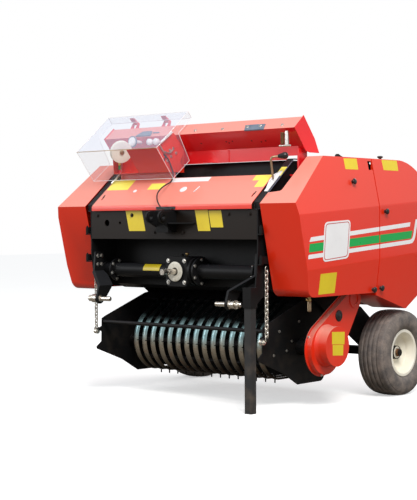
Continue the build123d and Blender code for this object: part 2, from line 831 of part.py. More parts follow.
def roller_set(angles, half_span):
    """Rollers round the chamber at the given angles, their shafts reaching the walls."""
    for angle in angles:
        cy = chamber_y + roller_ring * math.cos(math.radians(angle))
        cz = chamber_z + roller_ring * math.sin(math.radians(angle))
        extrude(rod(side_plane(-roller_half) * Pos(cy, cz), roller_r), amount=2 * roller_half)
        extrude(rod(side_plane(-half_span) * Pos(cy, cz), roller_shaft), amount=2 * half_span)


with BuildPart() as front_rollers:
    roller_set((103, 126, 149, 172, 195), frame_in)
save(front_rollers, "front_rollers")

# ================================================================ side covers
cover_in = channel_out + 6
cover_top_in = cover_in + 83           # inner edge of the flat top
cover_bottom_z = 632.0
cover_lean = 0.24                      # front face runs back this much for each unit down
crease_rise = 0.067
upper_crease_z = 1076.0                # at the hood's front edge
lower_crease_z = 773.0
upper_taper = 0.21
lower_taper = 0.13
cover_corner_r = 60.0
cover_lip = 16.0
post_x = channel_out + 30              # posts of the twine housing pass the covers' open corners here
# the inner top corner is open behind the first value and inwards of the second
open_corner = {1: (hood_y + 82, cover_top_in), -1: (hood_y + 290, post_x + 26)}
cover_front_bottom_y = hood_y + cover_lean * (hood_front_z - cover_bottom_z)


def facet(z, taper, s):
    """Plane of the flat above (positive taper) or below (negative taper) a crease of the outer side."""
    return Plane(
        origin=(s * machine_half, hood_y, z),
        x_dir=(0, 1, crease_rise),
        z_dir=(s, -crease_rise * taper, taper),
    )


knob_r = 17.0


def cover_section(plane, inset):
    """Side outline of a front cover, drawn in by the given amount all round."""
    with BuildSketch(plane) as face:
        with BuildLine():
            Polyline(
                (hood_y, hood_front_z),
                (plateau_y, top_z),
                (split_front_y, top_z),
                (split_front_y, cover_bottom_z),
                (cover_front_bottom_y, cover_bottom_z),
                close=True,
            )
        make_face()
        fillet(face.vertices().group_by(Axis.Y)[0].sort_by(Axis.X)[0], cover_corner_r)
        if inset:
            offset(amount=-inset, kind=Kind.INTERSECTION, mode=Mode.REPLACE)
    return face.sketch


def faceted(section, s, depth, inset):
    """Section run out to the faceted outer side, every flat drawn in by the given amount."""
    with BuildPart() as form:
        extrude(section, amount=s * (depth - inset))
        for z, taper in ((upper_crease_z, upper_taper), (lower_crease_z, -lower_taper)):
            split(bisect_by=facet(z, taper, s).offset(-inset), keep=Keep.BOTTOM)
    return form.part


for side, s in sides:
    outer_form = faceted(cover_section(side_plane(s * cover_in), 0), s, machine_half - cover_in, 0)
    inner_form = faceted(cover_section(side_plane(s * cover_in), sheet), s, machine_half - cover_in, sheet)
    with BuildPart() as side_cover:
        add(outer_form)
        add(inner_form, mode=Mode.SUBTRACT)
        # open behind and below, leaving a turned-in lip along the outer side
        with BuildSketch(side_plane(s * cover_in)):
            Polygon(
                (split_front_y - 40, top_z - cover_lip),
                (split_front_y + 40, top_z - cover_lip),
                (split_front_y + 40, cover_bottom_z - 20),
                (cover_front_bottom_y + cover_corner_r, cover_bottom_z - 20),
                (cover_front_bottom_y + cover_corner_r, cover_bottom_z + 8),
                (split_front_y - 40, cover_bottom_z + 8),
                align=None,
            )
        extrude(amount=s * (machine_half - cover_in - 44), mode=Mode.SUBTRACT)
        # open corner beside the hood
        notch_y, notch_x = open_corner[s]
        with BuildSketch(Plane.XY.offset(top_z + 10)):
            with BuildLine():
                Polyline(
                    (s * (cover_in - 20), notch_y - 12),
                    (s * (notch_x - 8), notch_y),
                    (s * notch_x, notch_y + 8),
                    (s * notch_x, split_y + 10),
                    (s * (cover_in - 20), split_y + 10),
                    close=True,
                )
            make_face()
        extrude(amount=-240, mode=Mode.SUBTRACT)
    save(side_cover, "side_cover_" + side)

    # Hinge leaves inside the cover's front face, each with a knuckle on a fixed pin.
    with BuildPart() as cover_hinge:
        for level in hinge_levels:
            face_y = hood_y + cover_lean * (hood_front_z - level)
            with Locations((s * hinge_x, hinge_y, level)):
                Cylinder(hinge_knuckle, hinge_length, align=(Align.CENTER, Align.CENTER, Align.MIN))
            with BuildSketch(Plane.XY.offset(level)):
                with BuildLine():
                    Polyline(
                        (s * (hinge_x - 4), hinge_y),
                        (s * hinge_x, hinge_y),
                        (s * hinge_x, face_y + 4),
                        (s * (cover_in + 60), face_y + 4),
                        (s * (cover_in + 60), face_y + 8),
                        (s * (hinge_x - 4), face_y + 8),
                        close=True,
                    )
                make_face()
            extrude(amount=hinge_length)
            with Locations((s * hinge_x, hinge_y, level + hinge_length / 2)):
                Cylinder(hinge_pin + running, hinge_length + 10, mode=Mode.SUBTRACT)
    save(cover_hinge, "cover_hinge_" + side)

# ================================================================ tailgate
gate_cover_in = gate_in + plate + 8
gate_arc_r = 330.0
gate_arc_y = hood_y + 1055
gate_arc_z = top_z - gate_arc_r
gate_corner_y = hood_y + 1125
gate_corner_z = 521.0
gate_rear_low_z = gate_corner_z + math.tan(math.radians(32)) * (gate_arc_y + gate_arc_r - gate_corner_y)
gate_front_low_z = 616.0


def gate_section(plane, inset):
    """Side outline of the tailgate, drawn in by the given amount all round."""
    with BuildSketch(plane) as face:
        with BuildLine():
            Polyline(
                (gate_arc_y + gate_arc_r, gate_arc_z),
                (gate_arc_y + gate_arc_r, gate_rear_low_z),
                (gate_corner_y, gate_corner_z),
                (split_back_y, gate_front_low_z),
                (split_back_y, top_z),
                (gate_arc_y, top_z),
            )
            ThreePointArc(
                (gate_arc_y, top_z),
                (gate_arc_y + gate_arc_r * math.sin(math.pi / 4), gate_arc_z + gate_arc_r * math.cos(math.pi / 4)),
                (gate_arc_y + gate_arc_r, gate_arc_z),
            )
        make_face()
        if inset:
            offset(amount=-inset, kind=Kind.INTERSECTION, mode=Mode.REPLACE)
    return face.sketch


for side, s in sides:
    with BuildPart() as gate_side:
        extrude(gate_section(side_plane(s * gate_in), 10), amount=s * plate)
        # hinge strap with its eye, inside the side frame's lug
        with BuildSketch(side_plane(s * (gate_in - 12))):
            with BuildLine():
                Polyline(
                    (gate_pin_y, gate_pin_z + 20),
                    (gate_pin_y + 90, top_z + 6),
                    (gate_pin_y + 150, top_z + 6),
                    (gate_pin_y + 150, top_z - 60),
                    (gate_pin_y + 20, top_z - 60),
                    (gate_pin_y, gate_pin_z - 20),
                    close=True,
                )
            make_face()
            with Locations((gate_pin_y, gate_pin_z)):
                Circle(20)
                Circle(gate_pin_r + running, mode=Mode.SUBTRACT)
        extrude(amount=s * (12 - seat))
        with BuildSketch(side_plane(s * (gate_in - 12))):
            Polygon(
                (gate_pin_y + 50, top_z - 20),
                (gate_pin_y + 150, top_z - 20),
                (gate_pin_y + 150, top_z - 60),
                (gate_pin_y + 50, top_z - 60),
                align=None,
            )
        extrude(amount=s * 14)
        # stays that carry the cover along its top and back
        with Locations((s * (gate_in + 30), gate_arc_y - 60, top_z - sheet - seat - 15)):
            Box(60, 60, 30)
        with Locations((s * (gate_in + 30), gate_arc_y + gate_arc_r - sheet - seat - 15, gate_arc_z - 60)):
            Box(60, 30, 60)
    save(gate_side, "tailgate_side_" + side)
    outer_form = faceted(gate_section(side_plane(s * gate_cover_in), 0), s, machine_half - gate_cover_in, 0)
    inner_form = faceted(gate_section(side_plane(s * gate_cover_in), sheet), s, machine_half - gate_cover_in, sheet)
    with BuildPart() as gate_cover:
        add(outer_form)
        add(inner_form, mode=Mode.SUBTRACT)
        # open towards the front cover
        with BuildSketch(side_plane(s * gate_cover_in)):
            Polygon(
                (split_back_y - 20, top_z - cover_lip),
                (split_back_y + 20, top_z - cover_lip),
                (split_back_y + 20, gate_front_low_z + cover_lip),
                (split_back_y - 20, gate_front_low_z + cover_lip),
                align=None,
            )
        extrude(amount=s * (machine_half - gate_cover_in - 64), mode=Mode.SUBTRACT)
    save(gate_cover, "tailgate_cover_" + side)

with BuildPart() as gate_rollers:
    roller_set((82, 58.6, 35.1, 11.7, -11.7, -35.1, -58.6), gate_in)
save(gate_rollers, "tailgate_rollers")

# Outer sheet of the tailgate, wrapped round the rollers between the two sides.
gate_sheet_inset = 12.0
with BuildPart() as gate_shell:
    extrude(gate_section(side_plane(-gate_in), gate_sheet_inset), amount=2 * gate_in)
    extrude(gate_section(side_plane(-gate_in), gate_sheet_inset + sheet), amount=2 * gate_in, mode=Mode.SUBTRACT)
    # the front and the sloping underside stay open to the chamber
    with BuildSketch(side_plane(-gate_in)):
        with BuildLine():
            Polyline(
                (split_y - 40, top_z - 60),
                (split_back_y + 60, top_z - 60),
                (split_back_y + 60, 640),
                (gate_corner_y - 20, 560),
                (gate_corner_y - 20, 480),
                (split_y - 40, 480),
                close=True,
            )
        make_face()
    extrude(amount=2 * gate_in, mode=Mode.SUBTRACT)
    # notches round the hinge straps
    for s in (1, -1):
        with Locations((s * gate_in, split_back_y + 70, top_z - 20)):
            Box(28, 240, 100, mode=Mode.SUBTRACT)
save(gate_shell, "tailgate_shell")

# ================================================================ twine unit
housing_half = post_x + 37
housing_y = hood_y + 236               # front top corner of the housing's slanted box
housing_z = top_z + 158
housing_depth = 100.0                  # up the slope
housing_drop = 150.0                   # square to the slope
slope_up = (math.cos(slope), math.sin(slope))
slope_down = (math.sin(slope), -math.cos(slope))


def slant(y, z, up, down):
    """Point reached from (y, z) by going up the slope and then square down from it."""
    return (y + up * slope_up[0] + down * slope_down[0], z + up * slope_up[1] + down * slope_down[1])


apron_y = slant(housing_y, housing_z, 0, housing_drop - 24)[0]
apron_top_z = slant(housing_y, housing_z, 0, housing_drop - 24)[1] + 2
apron_low_z = frame_top_z + 5
apron_half = channel_in - 2
post_width = 76.0
post_y = hood_y + 346
post_foot_z = top_z - 107
post_head_z = top_z + 49
lid_pin_y = housing_y + 109
lid_pin_z = housing_z + 94
lid_pin_r = 4.0
lid_hinge_x = (-572.0, -310.0)
with BuildPart() as twine_housing:
    box = [
        slant(housing_y, housing_z, 0, 0),
        slant(housing_y, housing_z, housing_depth, 0),
        slant(housing_y, housing_z, housing_depth, housing_drop),
        slant(housing_y, housing_z, 0, housing_drop),
    ]
    inside = [
        slant(housing_y, housing_z, sheet, sheet),
        slant(housing_y, housing_z, housing_depth - sheet, sheet),
        slant(housing_y, housing_z, housing_depth - sheet, housing_drop - sheet),
        slant(housing_y, housing_z, sheet, housing_drop - sheet),
    ]
    extrude(outline(side_plane(-housing_half), box), amount=2 * housing_half)
    extrude(outline(side_plane(-housing_half - 1), inside), amount=2 * housing_half + 2, mode=Mode.SUBTRACT)
    # apron below, folded back and down
    extrude(
        outline(
            side_plane(-apron_half),
            [
                (apron_y, apron_top_z),
                (apron_y + sheet, apron_top_z),
                (apron_y + sheet, apron_low_z),
                (apron_y, apron_low_z),
            ],
        ),
        amount=2 * apron_half,
    )
    for s in (1, -1):
        # wing of the apron out to the post, above the side cover
        with Locations((s * (apron_half + post_x) / 2, apron_y + sheet / 2, (top_z + 7 + apron_top_z) / 2)):
            Box(post_x - apron_half + 2, sheet, apron_top_z - top_z - 7)
        # post and foot down to the side frame
        with Locations((s * (post_x + 6), post_y, (post_foot_z + post_head_z) / 2)):
            Box(12, post_width, post_head_z - post_foot_z)
        with Locations((s * (frame_out + post_x + 12) / 2, post_y, post_foot_z + 5)):
            Box(post_x + 12 - frame_out, post_width, 10)
    # twine guide bracket
    with Locations((120, apron_y - 2, apron_low_z + 36)):
        Box(160, 4, 72)
    with Locations((80, apron_y - 26, apron_low_z + 2)):
        Box(80, 44, 4)
    # ears and pins of the lid's hinges
    back_top = slant(housing_y, housing_z, housing_depth - 2, 2)
    back_mid = slant(housing_y, housing_z, housing_depth - 2, 40)
    for x in lid_hinge_x:
        for dx in (-23, 20):
            extrude(
                outline(
                    side_plane(x + dx),
                    [
                        back_top,
                        (lid_pin_y - 8, lid_pin_z + 2),
                        (lid_pin_y, lid_pin_z + 8),
                        (lid_pin_y + 8, lid_pin_z),
                        (lid_pin_y + 6, lid_pin_z - 10),
                        back_mid,
                    ],
                ),
                amount=3,
            )
        extrude(rod(side_plane(x - 20) * Pos(lid_pin_y, lid_pin_z), lid_pin_r), amount=40)
save(twine_housing, "twine_housing")

# End plates that close the housing, standing proud of it all round.
end_rim = 6.0
with BuildPart() as housing_ends:
    for s in (1, -1):
        extrude(
            outline(
                side_plane(s * housing_half),
                [
                    slant(housing_y, housing_z, -end_rim, -end_rim),
                    slant(housing_y, housing_z, housing_depth + end_rim, -end_rim),
                    slant(housing_y, housing_z, housing_depth + end_rim, housing_drop + end_rim + 2),
                    (post_y + 114, top_z + 24),
                    (post_y + 26, top_z + 24),
                    slant(housing_y, housing_z, -end_rim, housing_drop + end_rim + 2),
                ],
            ),
            amount=s * 4,
        )
save(housing_ends, "housing_ends")

# Twine box: folded tray on the housing's apron, its near end closed by a plate.
tray_x0 = 45.0 - apron_half
tray_x1 = -128.0
tray_step_x = -366.0                   # the front wall ends here
tray_z = top_z - 62
tray_low = (hood_y + 152, tray_z)
tray_front = (tray_low[0] - 109, tray_z + 137)
tray_back_y = apron_y - 28
tray_back = (tray_back_y, tray_z + 129)
with BuildPart() as twine_box:
    extrude(
        folded(
            side_plane(tray_step_x),
            [tray_front, tray_low, (tray_back_y, tray_z), tray_back],
            sheet,
            Side.RIGHT,
        ),
        amount=tray_x1 - tray_step_x,
    )
    extrude(
        folded(
            side_plane(tray_x0), [tray_low, (tray_back_y, tray_z), tray_back], sheet, Side.RIGHT
        ),
        amount=tray_step_x - tray_x0,
    )
    extrude(
        outline(
            side_plane(tray_x1),
            [
                tray_front,
                (tray_front[0] + 139, tray_front[1] + 98),
                (tray_front[0] + 163, tray_front[1] + 82),
                tray_back,
                (tray_back_y - 36, tray_z + 59),
                (tray_back_y, tray_z - sheet),
                (tray_low[0], tray_z - sheet),
            ],
        ),
        amount=4,
    )
    extrude(
        outline(
            side_plane(tray_x0),
            [
                (tray_low[0] - 10, tray_z + 95),
                (tray_low[0] - 10, tray_z + 159),
                (tray_low[0] + 6, tray_z + 175),
                (tray_low[0] + 44, tray_z + 175),
                tray_back,
                (tray_back_y, tray_z),
                tray_low,
            ],
        ),
        amount=-4,
    )
    for x in (tray_x0 + 70, tray_x1 - 70):
        with Locations((x, (tray_back_y + sheet + apron_y) / 2, tray_z + 84)):
            Box(60, apron_y - tray_back_y - sheet, 50)
    # valance below the tray, just behind the hood's rear edge
    with Locations(((tray_x0 + tray_x1) / 2, hood_y + hood_run + 14, tray_z - sheet - 20)):
        Box(tray_x1 - tray_x0, 4, 40)
save(twine_box, "twine_box")

ball_r = 60.0
with BuildPart() as twine_balls:
    for x in (-320, -198):
        extrude(
            ring(side_plane(x - 56) * Pos(tray_low[0] + 70, tray_z + ball_r + seat), ball_r, 16), amount=112
        )
save(twine_balls, "twine_balls")

# Twine brake disc on a spindle that stands on the tray's right end plate.
disc_r = 68.0
disc_x = -480.0
disc_plane = Plane(origin=(disc_x, tray_low[0] - 30, tray_z + 125), z_dir=(0.87, -0.38, -0.30))
with BuildPart() as twine_disc:
    extrude(ring(disc_plane, disc_r, 12), amount=-8)
    extrude(ring(disc_plane.offset(-8), disc_r - 12, 12), amount=-12)
    extrude(ring(disc_plane.offset(-20), disc_r, 12), amount=-8)
    extrude(rod(disc_plane.offset(4), 12), amount=-200)
    split(bisect_by=Plane(origin=(tray_x0 + seat, 0, 0), z_dir=(1, 0, 0)), keep=Keep.TOP)
save(twine_disc, "twine_disc")

# ---------------------------------------------------------------- clear lid over the twine box
lid_x0 = -cover_top_in - 6
lid_x1 = tray_x1 + 33
lid_front = (tray_front[0] - 26, tray_front[1] - 4)
lid_depth = 357.0
lid_back = 48.0
lid_top = slant(*lid_front, lid_depth, 0)
lid_rear = slant(*lid_front, lid_depth, lid_back)
lid_notch = slant(*lid_front, lid_depth - 150, lid_back)
lid_edge = slant(*lid_front, lid_depth - 177, lid_back + 184)
lid_low = slant(*lid_front, 0, 225)      # the front panel ends just above the side cover's slope
with BuildPart() as twine_lid:
    extrude(
        folded(side_plane(lid_x0), [lid_low, lid_front, lid_top, lid_rear], sheet, Side.RIGHT),
        amount=lid_x1 - lid_x0,
    )
    for x in (lid_x0, lid_x1 - sheet):
        extrude(
            outline(side_plane(x), [lid_low, lid_front, lid_top, lid_rear, lid_notch, lid_edge]),
            amount=sheet,
        )
save(twine_lid, "twine_lid")

with BuildPart() as lid_hinges:
    leaf_low = slant(*lid_front, lid_depth, lid_back - 4)
    leaf_high = slant(*lid_front, lid_depth, lid_back - 30)
    for x in lid_hinge_x:
        extrude(ring(side_plane(x - 18) * Pos(lid_pin_y, lid_pin_z), 8, lid_pin_r + running), amount=36)
        extrude(
            outline(
                side_plane(x - 18),
                [
                    leaf_high,
                    (leaf_high[0] + 2.3, leaf_high[1] + 1.9),
                    (lid_pin_y + 3, lid_pin_z + 7.4),
                    (lid_pin_y - 5, lid_pin_z + 5),
                    leaf_low,
                ],
            ),
            amount=36,
        )
save(lid_hinges, "lid_hinges")

# ================================================================ control lever
lever_x = (channel_in + channel_out) / 2 + 4
lever_r = 6.0
lever_end = (lever_x, hood_y + 186, hood_front_z + 261)
channel_top = hood_front_z - channel_drop + seat
with BuildPart() as lever:
    foot = (hood_y + 88, channel_top + up_slope(88))
    extrude(
        outline(
            side_plane(lever_x - 11),
            [slant(*foot, 0, 0), slant(*foot, 180, 0), slant(*foot, 180, -7), slant(*foot, 120, -22), slant(*foot, 70, -22), slant(*foot, 0, -7)],
        ),
        amount=22,
    )
    rod_foot = slant(*foot, 95, -12)
    with BuildLine() as lever_path:
        FilletPolyline(
            (lever_x, rod_foot[0], rod_foot[1]),
            (lever_x, lever_end[1] - 55, lever_end[2] - 8),
            lever_end,
            radius=16,
        )
    with BuildSketch(Plane(origin=lever_path.line @ 0, z_dir=lever_path.line % 0)):
        Circle(lever_r)
    sweep()
    # pear-shaped knob
    with BuildSketch(Plane(origin=lever_end, x_dir=(0, 0, 1), z_dir=(1, 0, 0))):
        with BuildLine():
            Polyline((0, 0), (9, 0), (16, 26))
            ThreePointArc((16, 26), (12, 44), (0, 50))
            Line((0, 50), (0, 0))
        make_face()
    revolve(axis=Axis(lever_end, (0, 1, 0)))
save(lever, "lever")

# ================================================================ lift chains
def link_face(plane):
    """Oval chain link drawn flat on a plane, its long side up."""
    with BuildSketch(plane) as face:
        SlotOverall(link_length, link_width, rotation=90)
        SlotOverall(link_length - 2 * link_wire, link_width - 2 * link_wire, rotation=90, mode=Mode.SUBTRACT)
    return face.sketch


for side, s in sides:
    with BuildPart() as lift_chain:
        for i in range(chain_links):
            z = link_top_z - i * link_pitch
            turn = (0, 1, 0) if i % 2 else (1, 0, 0)
            across = (1, 0, 0) if i % 2 else (0, 1, 0)
            link_plane = Plane(origin=(s * chain_x, chain_y, z), x_dir=across, z_dir=turn)
            extrude(link_face(link_plane), amount=link_wire / 2, both=True)
    save(lift_chain, "lift_chain_" + side)

# ================================================================ knobs of the covers


def knob_plane(s, y, z):
    """Plane on a cover's outer side at the given place, facing out."""
    upper = upper_crease_z + crease_rise * (y - hood_y)
    lower = lower_crease_z + crease_rise * (y - hood_y)
    if z > upper:
        x, normal = machine_half - upper_taper * (z - upper), (s, -crease_rise * upper_taper, upper_taper)
    elif z < lower:
        x, normal = machine_half - lower_taper * (lower - z), (s, crease_rise * lower_taper, -lower_taper)
    else:
        x, normal = machine_half, (s, 0, 0)
    return Plane(origin=(s * x, y, z), z_dir=normal)


def knob(plane):
    """Moulded knob with a short stem."""
    with BuildSketch(plane):
        Circle(9)
    with BuildSketch(plane.offset(9)):
        Circle(knob_r)
    loft()
    with BuildSketch(plane.offset(9)):
        Circle(knob_r)
    extrude(amount=12)


for side, s in sides:
    with BuildPart() as cover_knobs:
        for run, z in ((555, top_z - 140), (split_run - 40, cover_bottom_z + 20)):
            knob_at = knob_plane(s, hood_y + run, z)
            extrude(rod(knob_at, 8), amount=10)
            extrude(rod(knob_at.offset(10), knob_r), amount=13)
    save(cover_knobs, "cover_knobs_" + side)
with BuildPart() as gate_knobs:
    for side, s in sides:
        for run, z in ((split_run + 56, upper_crease_z + 22), (split_run + 38, gate_front_low_z + 42)):
            knob_at = knob_plane(s, hood_y + run, z)
            extrude(rod(knob_at, 8), amount=10)
            extrude(rod(knob_at.offset(10), knob_r), amount=13)
        top_knob = Plane(origin=(s * (machine_half - 111), gate_arc_y - 97, top_z), z_dir=(0, 0, 1))
        extrude(rod(top_knob, 8), amount=12)
        extrude(rod(top_knob.offset(12), knob_r), amount=13)
save(gate_knobs, "tailgate_knobs")
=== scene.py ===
"""Looks of a mini round baler for a small tractor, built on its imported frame.

Metres. +X is the machine's left side, -Y the direction of travel, +Z up, Z = 0 the ground.
"""

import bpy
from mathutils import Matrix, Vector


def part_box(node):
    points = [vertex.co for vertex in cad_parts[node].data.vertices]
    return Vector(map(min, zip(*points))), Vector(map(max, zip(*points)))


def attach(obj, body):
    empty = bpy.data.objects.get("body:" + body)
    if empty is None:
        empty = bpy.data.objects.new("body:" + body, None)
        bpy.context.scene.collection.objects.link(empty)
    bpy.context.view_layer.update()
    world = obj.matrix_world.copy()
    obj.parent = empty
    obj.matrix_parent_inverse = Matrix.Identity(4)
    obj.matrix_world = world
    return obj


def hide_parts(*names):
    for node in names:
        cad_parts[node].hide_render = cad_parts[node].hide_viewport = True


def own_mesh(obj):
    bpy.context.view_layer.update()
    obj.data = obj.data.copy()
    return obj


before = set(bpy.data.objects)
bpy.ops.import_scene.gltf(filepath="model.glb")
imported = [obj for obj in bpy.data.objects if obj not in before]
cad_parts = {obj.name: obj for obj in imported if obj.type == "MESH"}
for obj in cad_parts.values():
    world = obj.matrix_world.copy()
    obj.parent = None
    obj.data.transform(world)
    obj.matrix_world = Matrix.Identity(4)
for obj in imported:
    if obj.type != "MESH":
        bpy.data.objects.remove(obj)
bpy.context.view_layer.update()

import logging
import math
from dataclasses import dataclass
from enum import Enum

import bmesh
import bpy
from mathutils import Matrix, Vector

log = logging.getLogger("baler")

Colour = tuple[float, float, float]
Point = tuple[float, float, float] | Vector
Flat = tuple[float, float]
Spot = tuple[Point, Point]              # a place and the direction that it faces
Mesh = bmesh.types.BMesh
Piece = bpy.types.Object

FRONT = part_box("hood")[0].y             # the hood's front edge
SIDES = (("left", 1.0), ("right", -1.0))
LEFT, AHEAD, UP = (1.0, 0.0, 0.0), (0.0, -1.0, 0.0), (0.0, 0.0, 1.0)
EVEN = (1.0, 1.0, 1.0)                  # no stretch
PURE_WHITE = (1.0, 1.0, 1.0)
DUST = (0.34, 0.25, 0.17)
MERGE = 2e-5                            # vertices of a CAD mesh nearer than this are one
FLAT_DEGREES = 0.4                      # faces that meet under this angle are one
LABEL_FILM = 0.0004                     # thickness of a label


def place(x: float, run: float, z: float) -> Point:
    """Point in the machine's frame, its run measured back from the hood's front edge."""
    return (x, FRONT + run, z)


# ---------------------------------------------------------------- node trees
class Value:
    """A node's output socket that stands in arithmetic expressions."""

    def __init__(self, tree: "NodeTree", socket: bpy.types.NodeSocket) -> None:
        """Wrap one output socket of a tree."""
        self.tree = tree
        self.socket = socket

    def math(self, operation: str, *others: "Value | float", clamp: bool = False) -> "Value":
        """Add one Math node.

        Args:
            operation: the Math node's operation.
            others: the values or numbers after this one.
            clamp: whether the result stays between 0 and 1.

        Returns:
            The node's output.
        """
        settings = {"operation": operation, "use_clamp": clamp}
        return self.tree.node("ShaderNodeMath", settings, dict(enumerate((self, *others))))

    def __add__(self, other: "Value | float") -> "Value":
        """Sum."""
        return self.math("ADD", other)

    def __sub__(self, other: "Value | float") -> "Value":
        """Difference."""
        return self.math("SUBTRACT", other)

    def __mul__(self, other: "Value | float") -> "Value":
        """Product."""
        return self.math("MULTIPLY", other)

    def __truediv__(self, other: "Value | float") -> "Value":
        """Quotient."""
        return self.math("DIVIDE", other)

    def __rsub__(self, other: float) -> "Value":
        """Number less this value."""
        return (self * -1.0) + other

    __radd__ = __add__
    __rmul__ = __mul__

    def between(self, low: float, high: float) -> "Value":
        """Share of the way from low to high, held between 0 and 1."""
        return ((self - low) / (high - low)).math("ADD", 0.0, clamp=True)


Input = Value | float | str | Colour | Point | bpy.types.Material | list[Value]


class NodeTree:
    """Node tree built up in code, which hands its outputs out as values."""

    def __init__(self, tree: bpy.types.NodeTree, end: str) -> None:
        """Empty a tree and give it an end node of that type."""
        self.tree = tree
        tree.nodes.clear()
        self.last = tree.nodes.new(end)

    def node(
        self,
        kind: str,
        settings: dict[str, object] | None = None,
        inputs: dict[str | int, Input] | None = None,
        output: str | int = 0,
    ) -> Value:
        """Add one node.

        Args:
            kind: the node's type.
            settings: its own properties.
            inputs: values or links of its input sockets.
            output: which output to return.

        Returns:
            That output as a value.
        """
        made = self.tree.nodes.new(kind)
        for key, setting in (settings or {}).items():
            setattr(made, key, setting)
        for key, value in (inputs or {}).items():
            self.feed(made.inputs[key], value)
        return Value(self, made.outputs[output])

    def feed(self, socket: bpy.types.NodeSocket, value: Input) -> None:
        """Link or set one input socket, with a list for a socket that takes several links."""
        if isinstance(value, list):
            for each in value:
                self.feed(socket, each)
        elif isinstance(value, Value):
            self.tree.links.new(value.socket, socket)
        elif isinstance(value, tuple) and socket.type == "RGBA":
            socket.default_value = (*value, 1.0)
        else:
            socket.default_value = value

    def end(self, value: Value) -> None:
        """Make a value the tree's result."""
        self.feed(self.last.inputs[0], value)


class FinishTree(NodeTree):
    """Node tree of one finish, ending in a Principled shader."""

    def __init__(self, name: str) -> None:
        """Start an empty material of that name."""
        self.material = bpy.data.materials.new(name)
        self.material.use_nodes = True
        super().__init__(self.material.node_tree, "ShaderNodeOutputMaterial")
        self.shader = self.node("ShaderNodeBsdfPrincipled")
        self.end(self.shader)

    def set(self, **values: Input) -> None:
        """Feed the Principled shader, with underscores for the spaces in its socket names."""
        for key, value in values.items():
            self.feed(self.shader.socket.node.inputs[key.replace("_", " ")], value)

    def place(self, stretch: Point = EVEN) -> Value:
        """Object coordinates, stretched along the axes."""
        where = self.node("ShaderNodeTexCoord", output="Object")
        return self.node("ShaderNodeMapping", {"vector_type": "POINT"}, {"Vector": where, "Scale": stretch})

    def height(self) -> Value:
        """Height above the ground."""
        return self.node("ShaderNodeSeparateXYZ", inputs={0: self.place()}, output="Z")

    def upness(self) -> Value:
        """How far a face looks up, from -1 to 1."""
        normal = self.node("ShaderNodeNewGeometry", output="Normal")
        return self.node("ShaderNodeSeparateXYZ", inputs={0: normal}, output="Z")

    def noise(self, scale: float, detail: float = 2.0, stretch: Point = EVEN) -> Value:
        """Cloudy noise, its features about 1/scale metres across."""
        inputs = {"Vector": self.place(stretch), "Scale": scale, "Detail": detail, "Roughness": 0.6}
        return self.node("ShaderNodeTexNoise", inputs=inputs, output="Fac")

    def blend(self, share: Input, first: Input, second: Input) -> Value:
        """Colour between two, by a share from 0 to 1."""
        settings = {"data_type": "RGBA", "blend_type": "MIX"}
        return self.node("ShaderNodeMix", settings, {0: share, 6: first, 7: second}, 2)

    def bump(self, height: Value, depth: float, strength: float = 1.0) -> Value:
        """Normal of a surface with small relief."""
        inputs = {"Height": height, "Distance": depth, "Strength": strength}
        return self.node("ShaderNodeBump", inputs=inputs, output="Normal")


# ---------------------------------------------------------------- finishes
@dataclass(frozen=True)
class Lacquer:
    """Sprayed paint on sheet metal: gloss, orange peel, a painted pale sky reflection on faces that look up,
    dust low down.
    """

    name: str
    colour: Colour
    faded: Colour
    sky_sheen_colour: Colour
    sky_sheen: float = 0.0
    roughness: float = 0.3
    coat: float = 0.3
    dust: float = 0.2
    dust_top: float = 0.9
    peel: float = 0.00005
    gloss: float = 0.5

    def build(self) -> bpy.types.Material:
        """Make the material."""
        tree = FinishTree(self.name)
        shade = tree.blend(tree.noise(2.2, 3.0).between(0.35, 0.75), self.colour, self.faded)
        # Faces that look up blend towards a pale colour: a painted reflection of the sky.
        base = tree.blend(tree.upness().between(0.15, 0.80) * self.sky_sheen, shade, self.sky_sheen_colour)
        grime = tree.noise(14.0, 5.0).between(0.45, 0.8)
        dusty = grime * (1.0 - tree.height().between(0.25, self.dust_top)) * self.dust
        tree.set(
            Base_Color=tree.blend(dusty, base, DUST),
            Roughness=tree.noise(60.0) * 0.08 + (self.roughness - 0.04) + dusty * 0.5,
            Coat_Weight=(1.0 - dusty) * self.coat,
            Normal=tree.bump(tree.noise(420.0, 1.0) + tree.noise(45.0, 1.0) * 0.8, self.peel),
            Coat_Roughness=0.08,
            IOR=1.5,
            Specular_IOR_Level=self.gloss,
        )
        return tree.material


@dataclass(frozen=True)
class Metal:
    """Bare or plated metal: bright, clouded, with blotches of stain."""

    name: str
    bright: Colour
    dull: Colour
    stain: Colour
    roughness: float = 0.32
    stained: float = 0.35

    def build(self) -> bpy.types.Material:
        """Make the material."""
        tree = FinishTree(self.name)
        base = tree.blend(tree.noise(38.0, 3.0).between(0.3, 0.7), self.bright, self.dull)
        blotch = tree.noise(70.0, 6.0).between(0.5, 0.72) * self.stained
        tree.set(
            Base_Color=tree.blend(blotch, base, self.stain),
            Metallic=1.0 - blotch * 0.8,
            Roughness=tree.noise(90.0) * 0.2 + (self.roughness - 0.1) + blotch * 0.4,
            Normal=tree.bump(tree.noise(500.0), 0.00008),
        )
        return tree.material


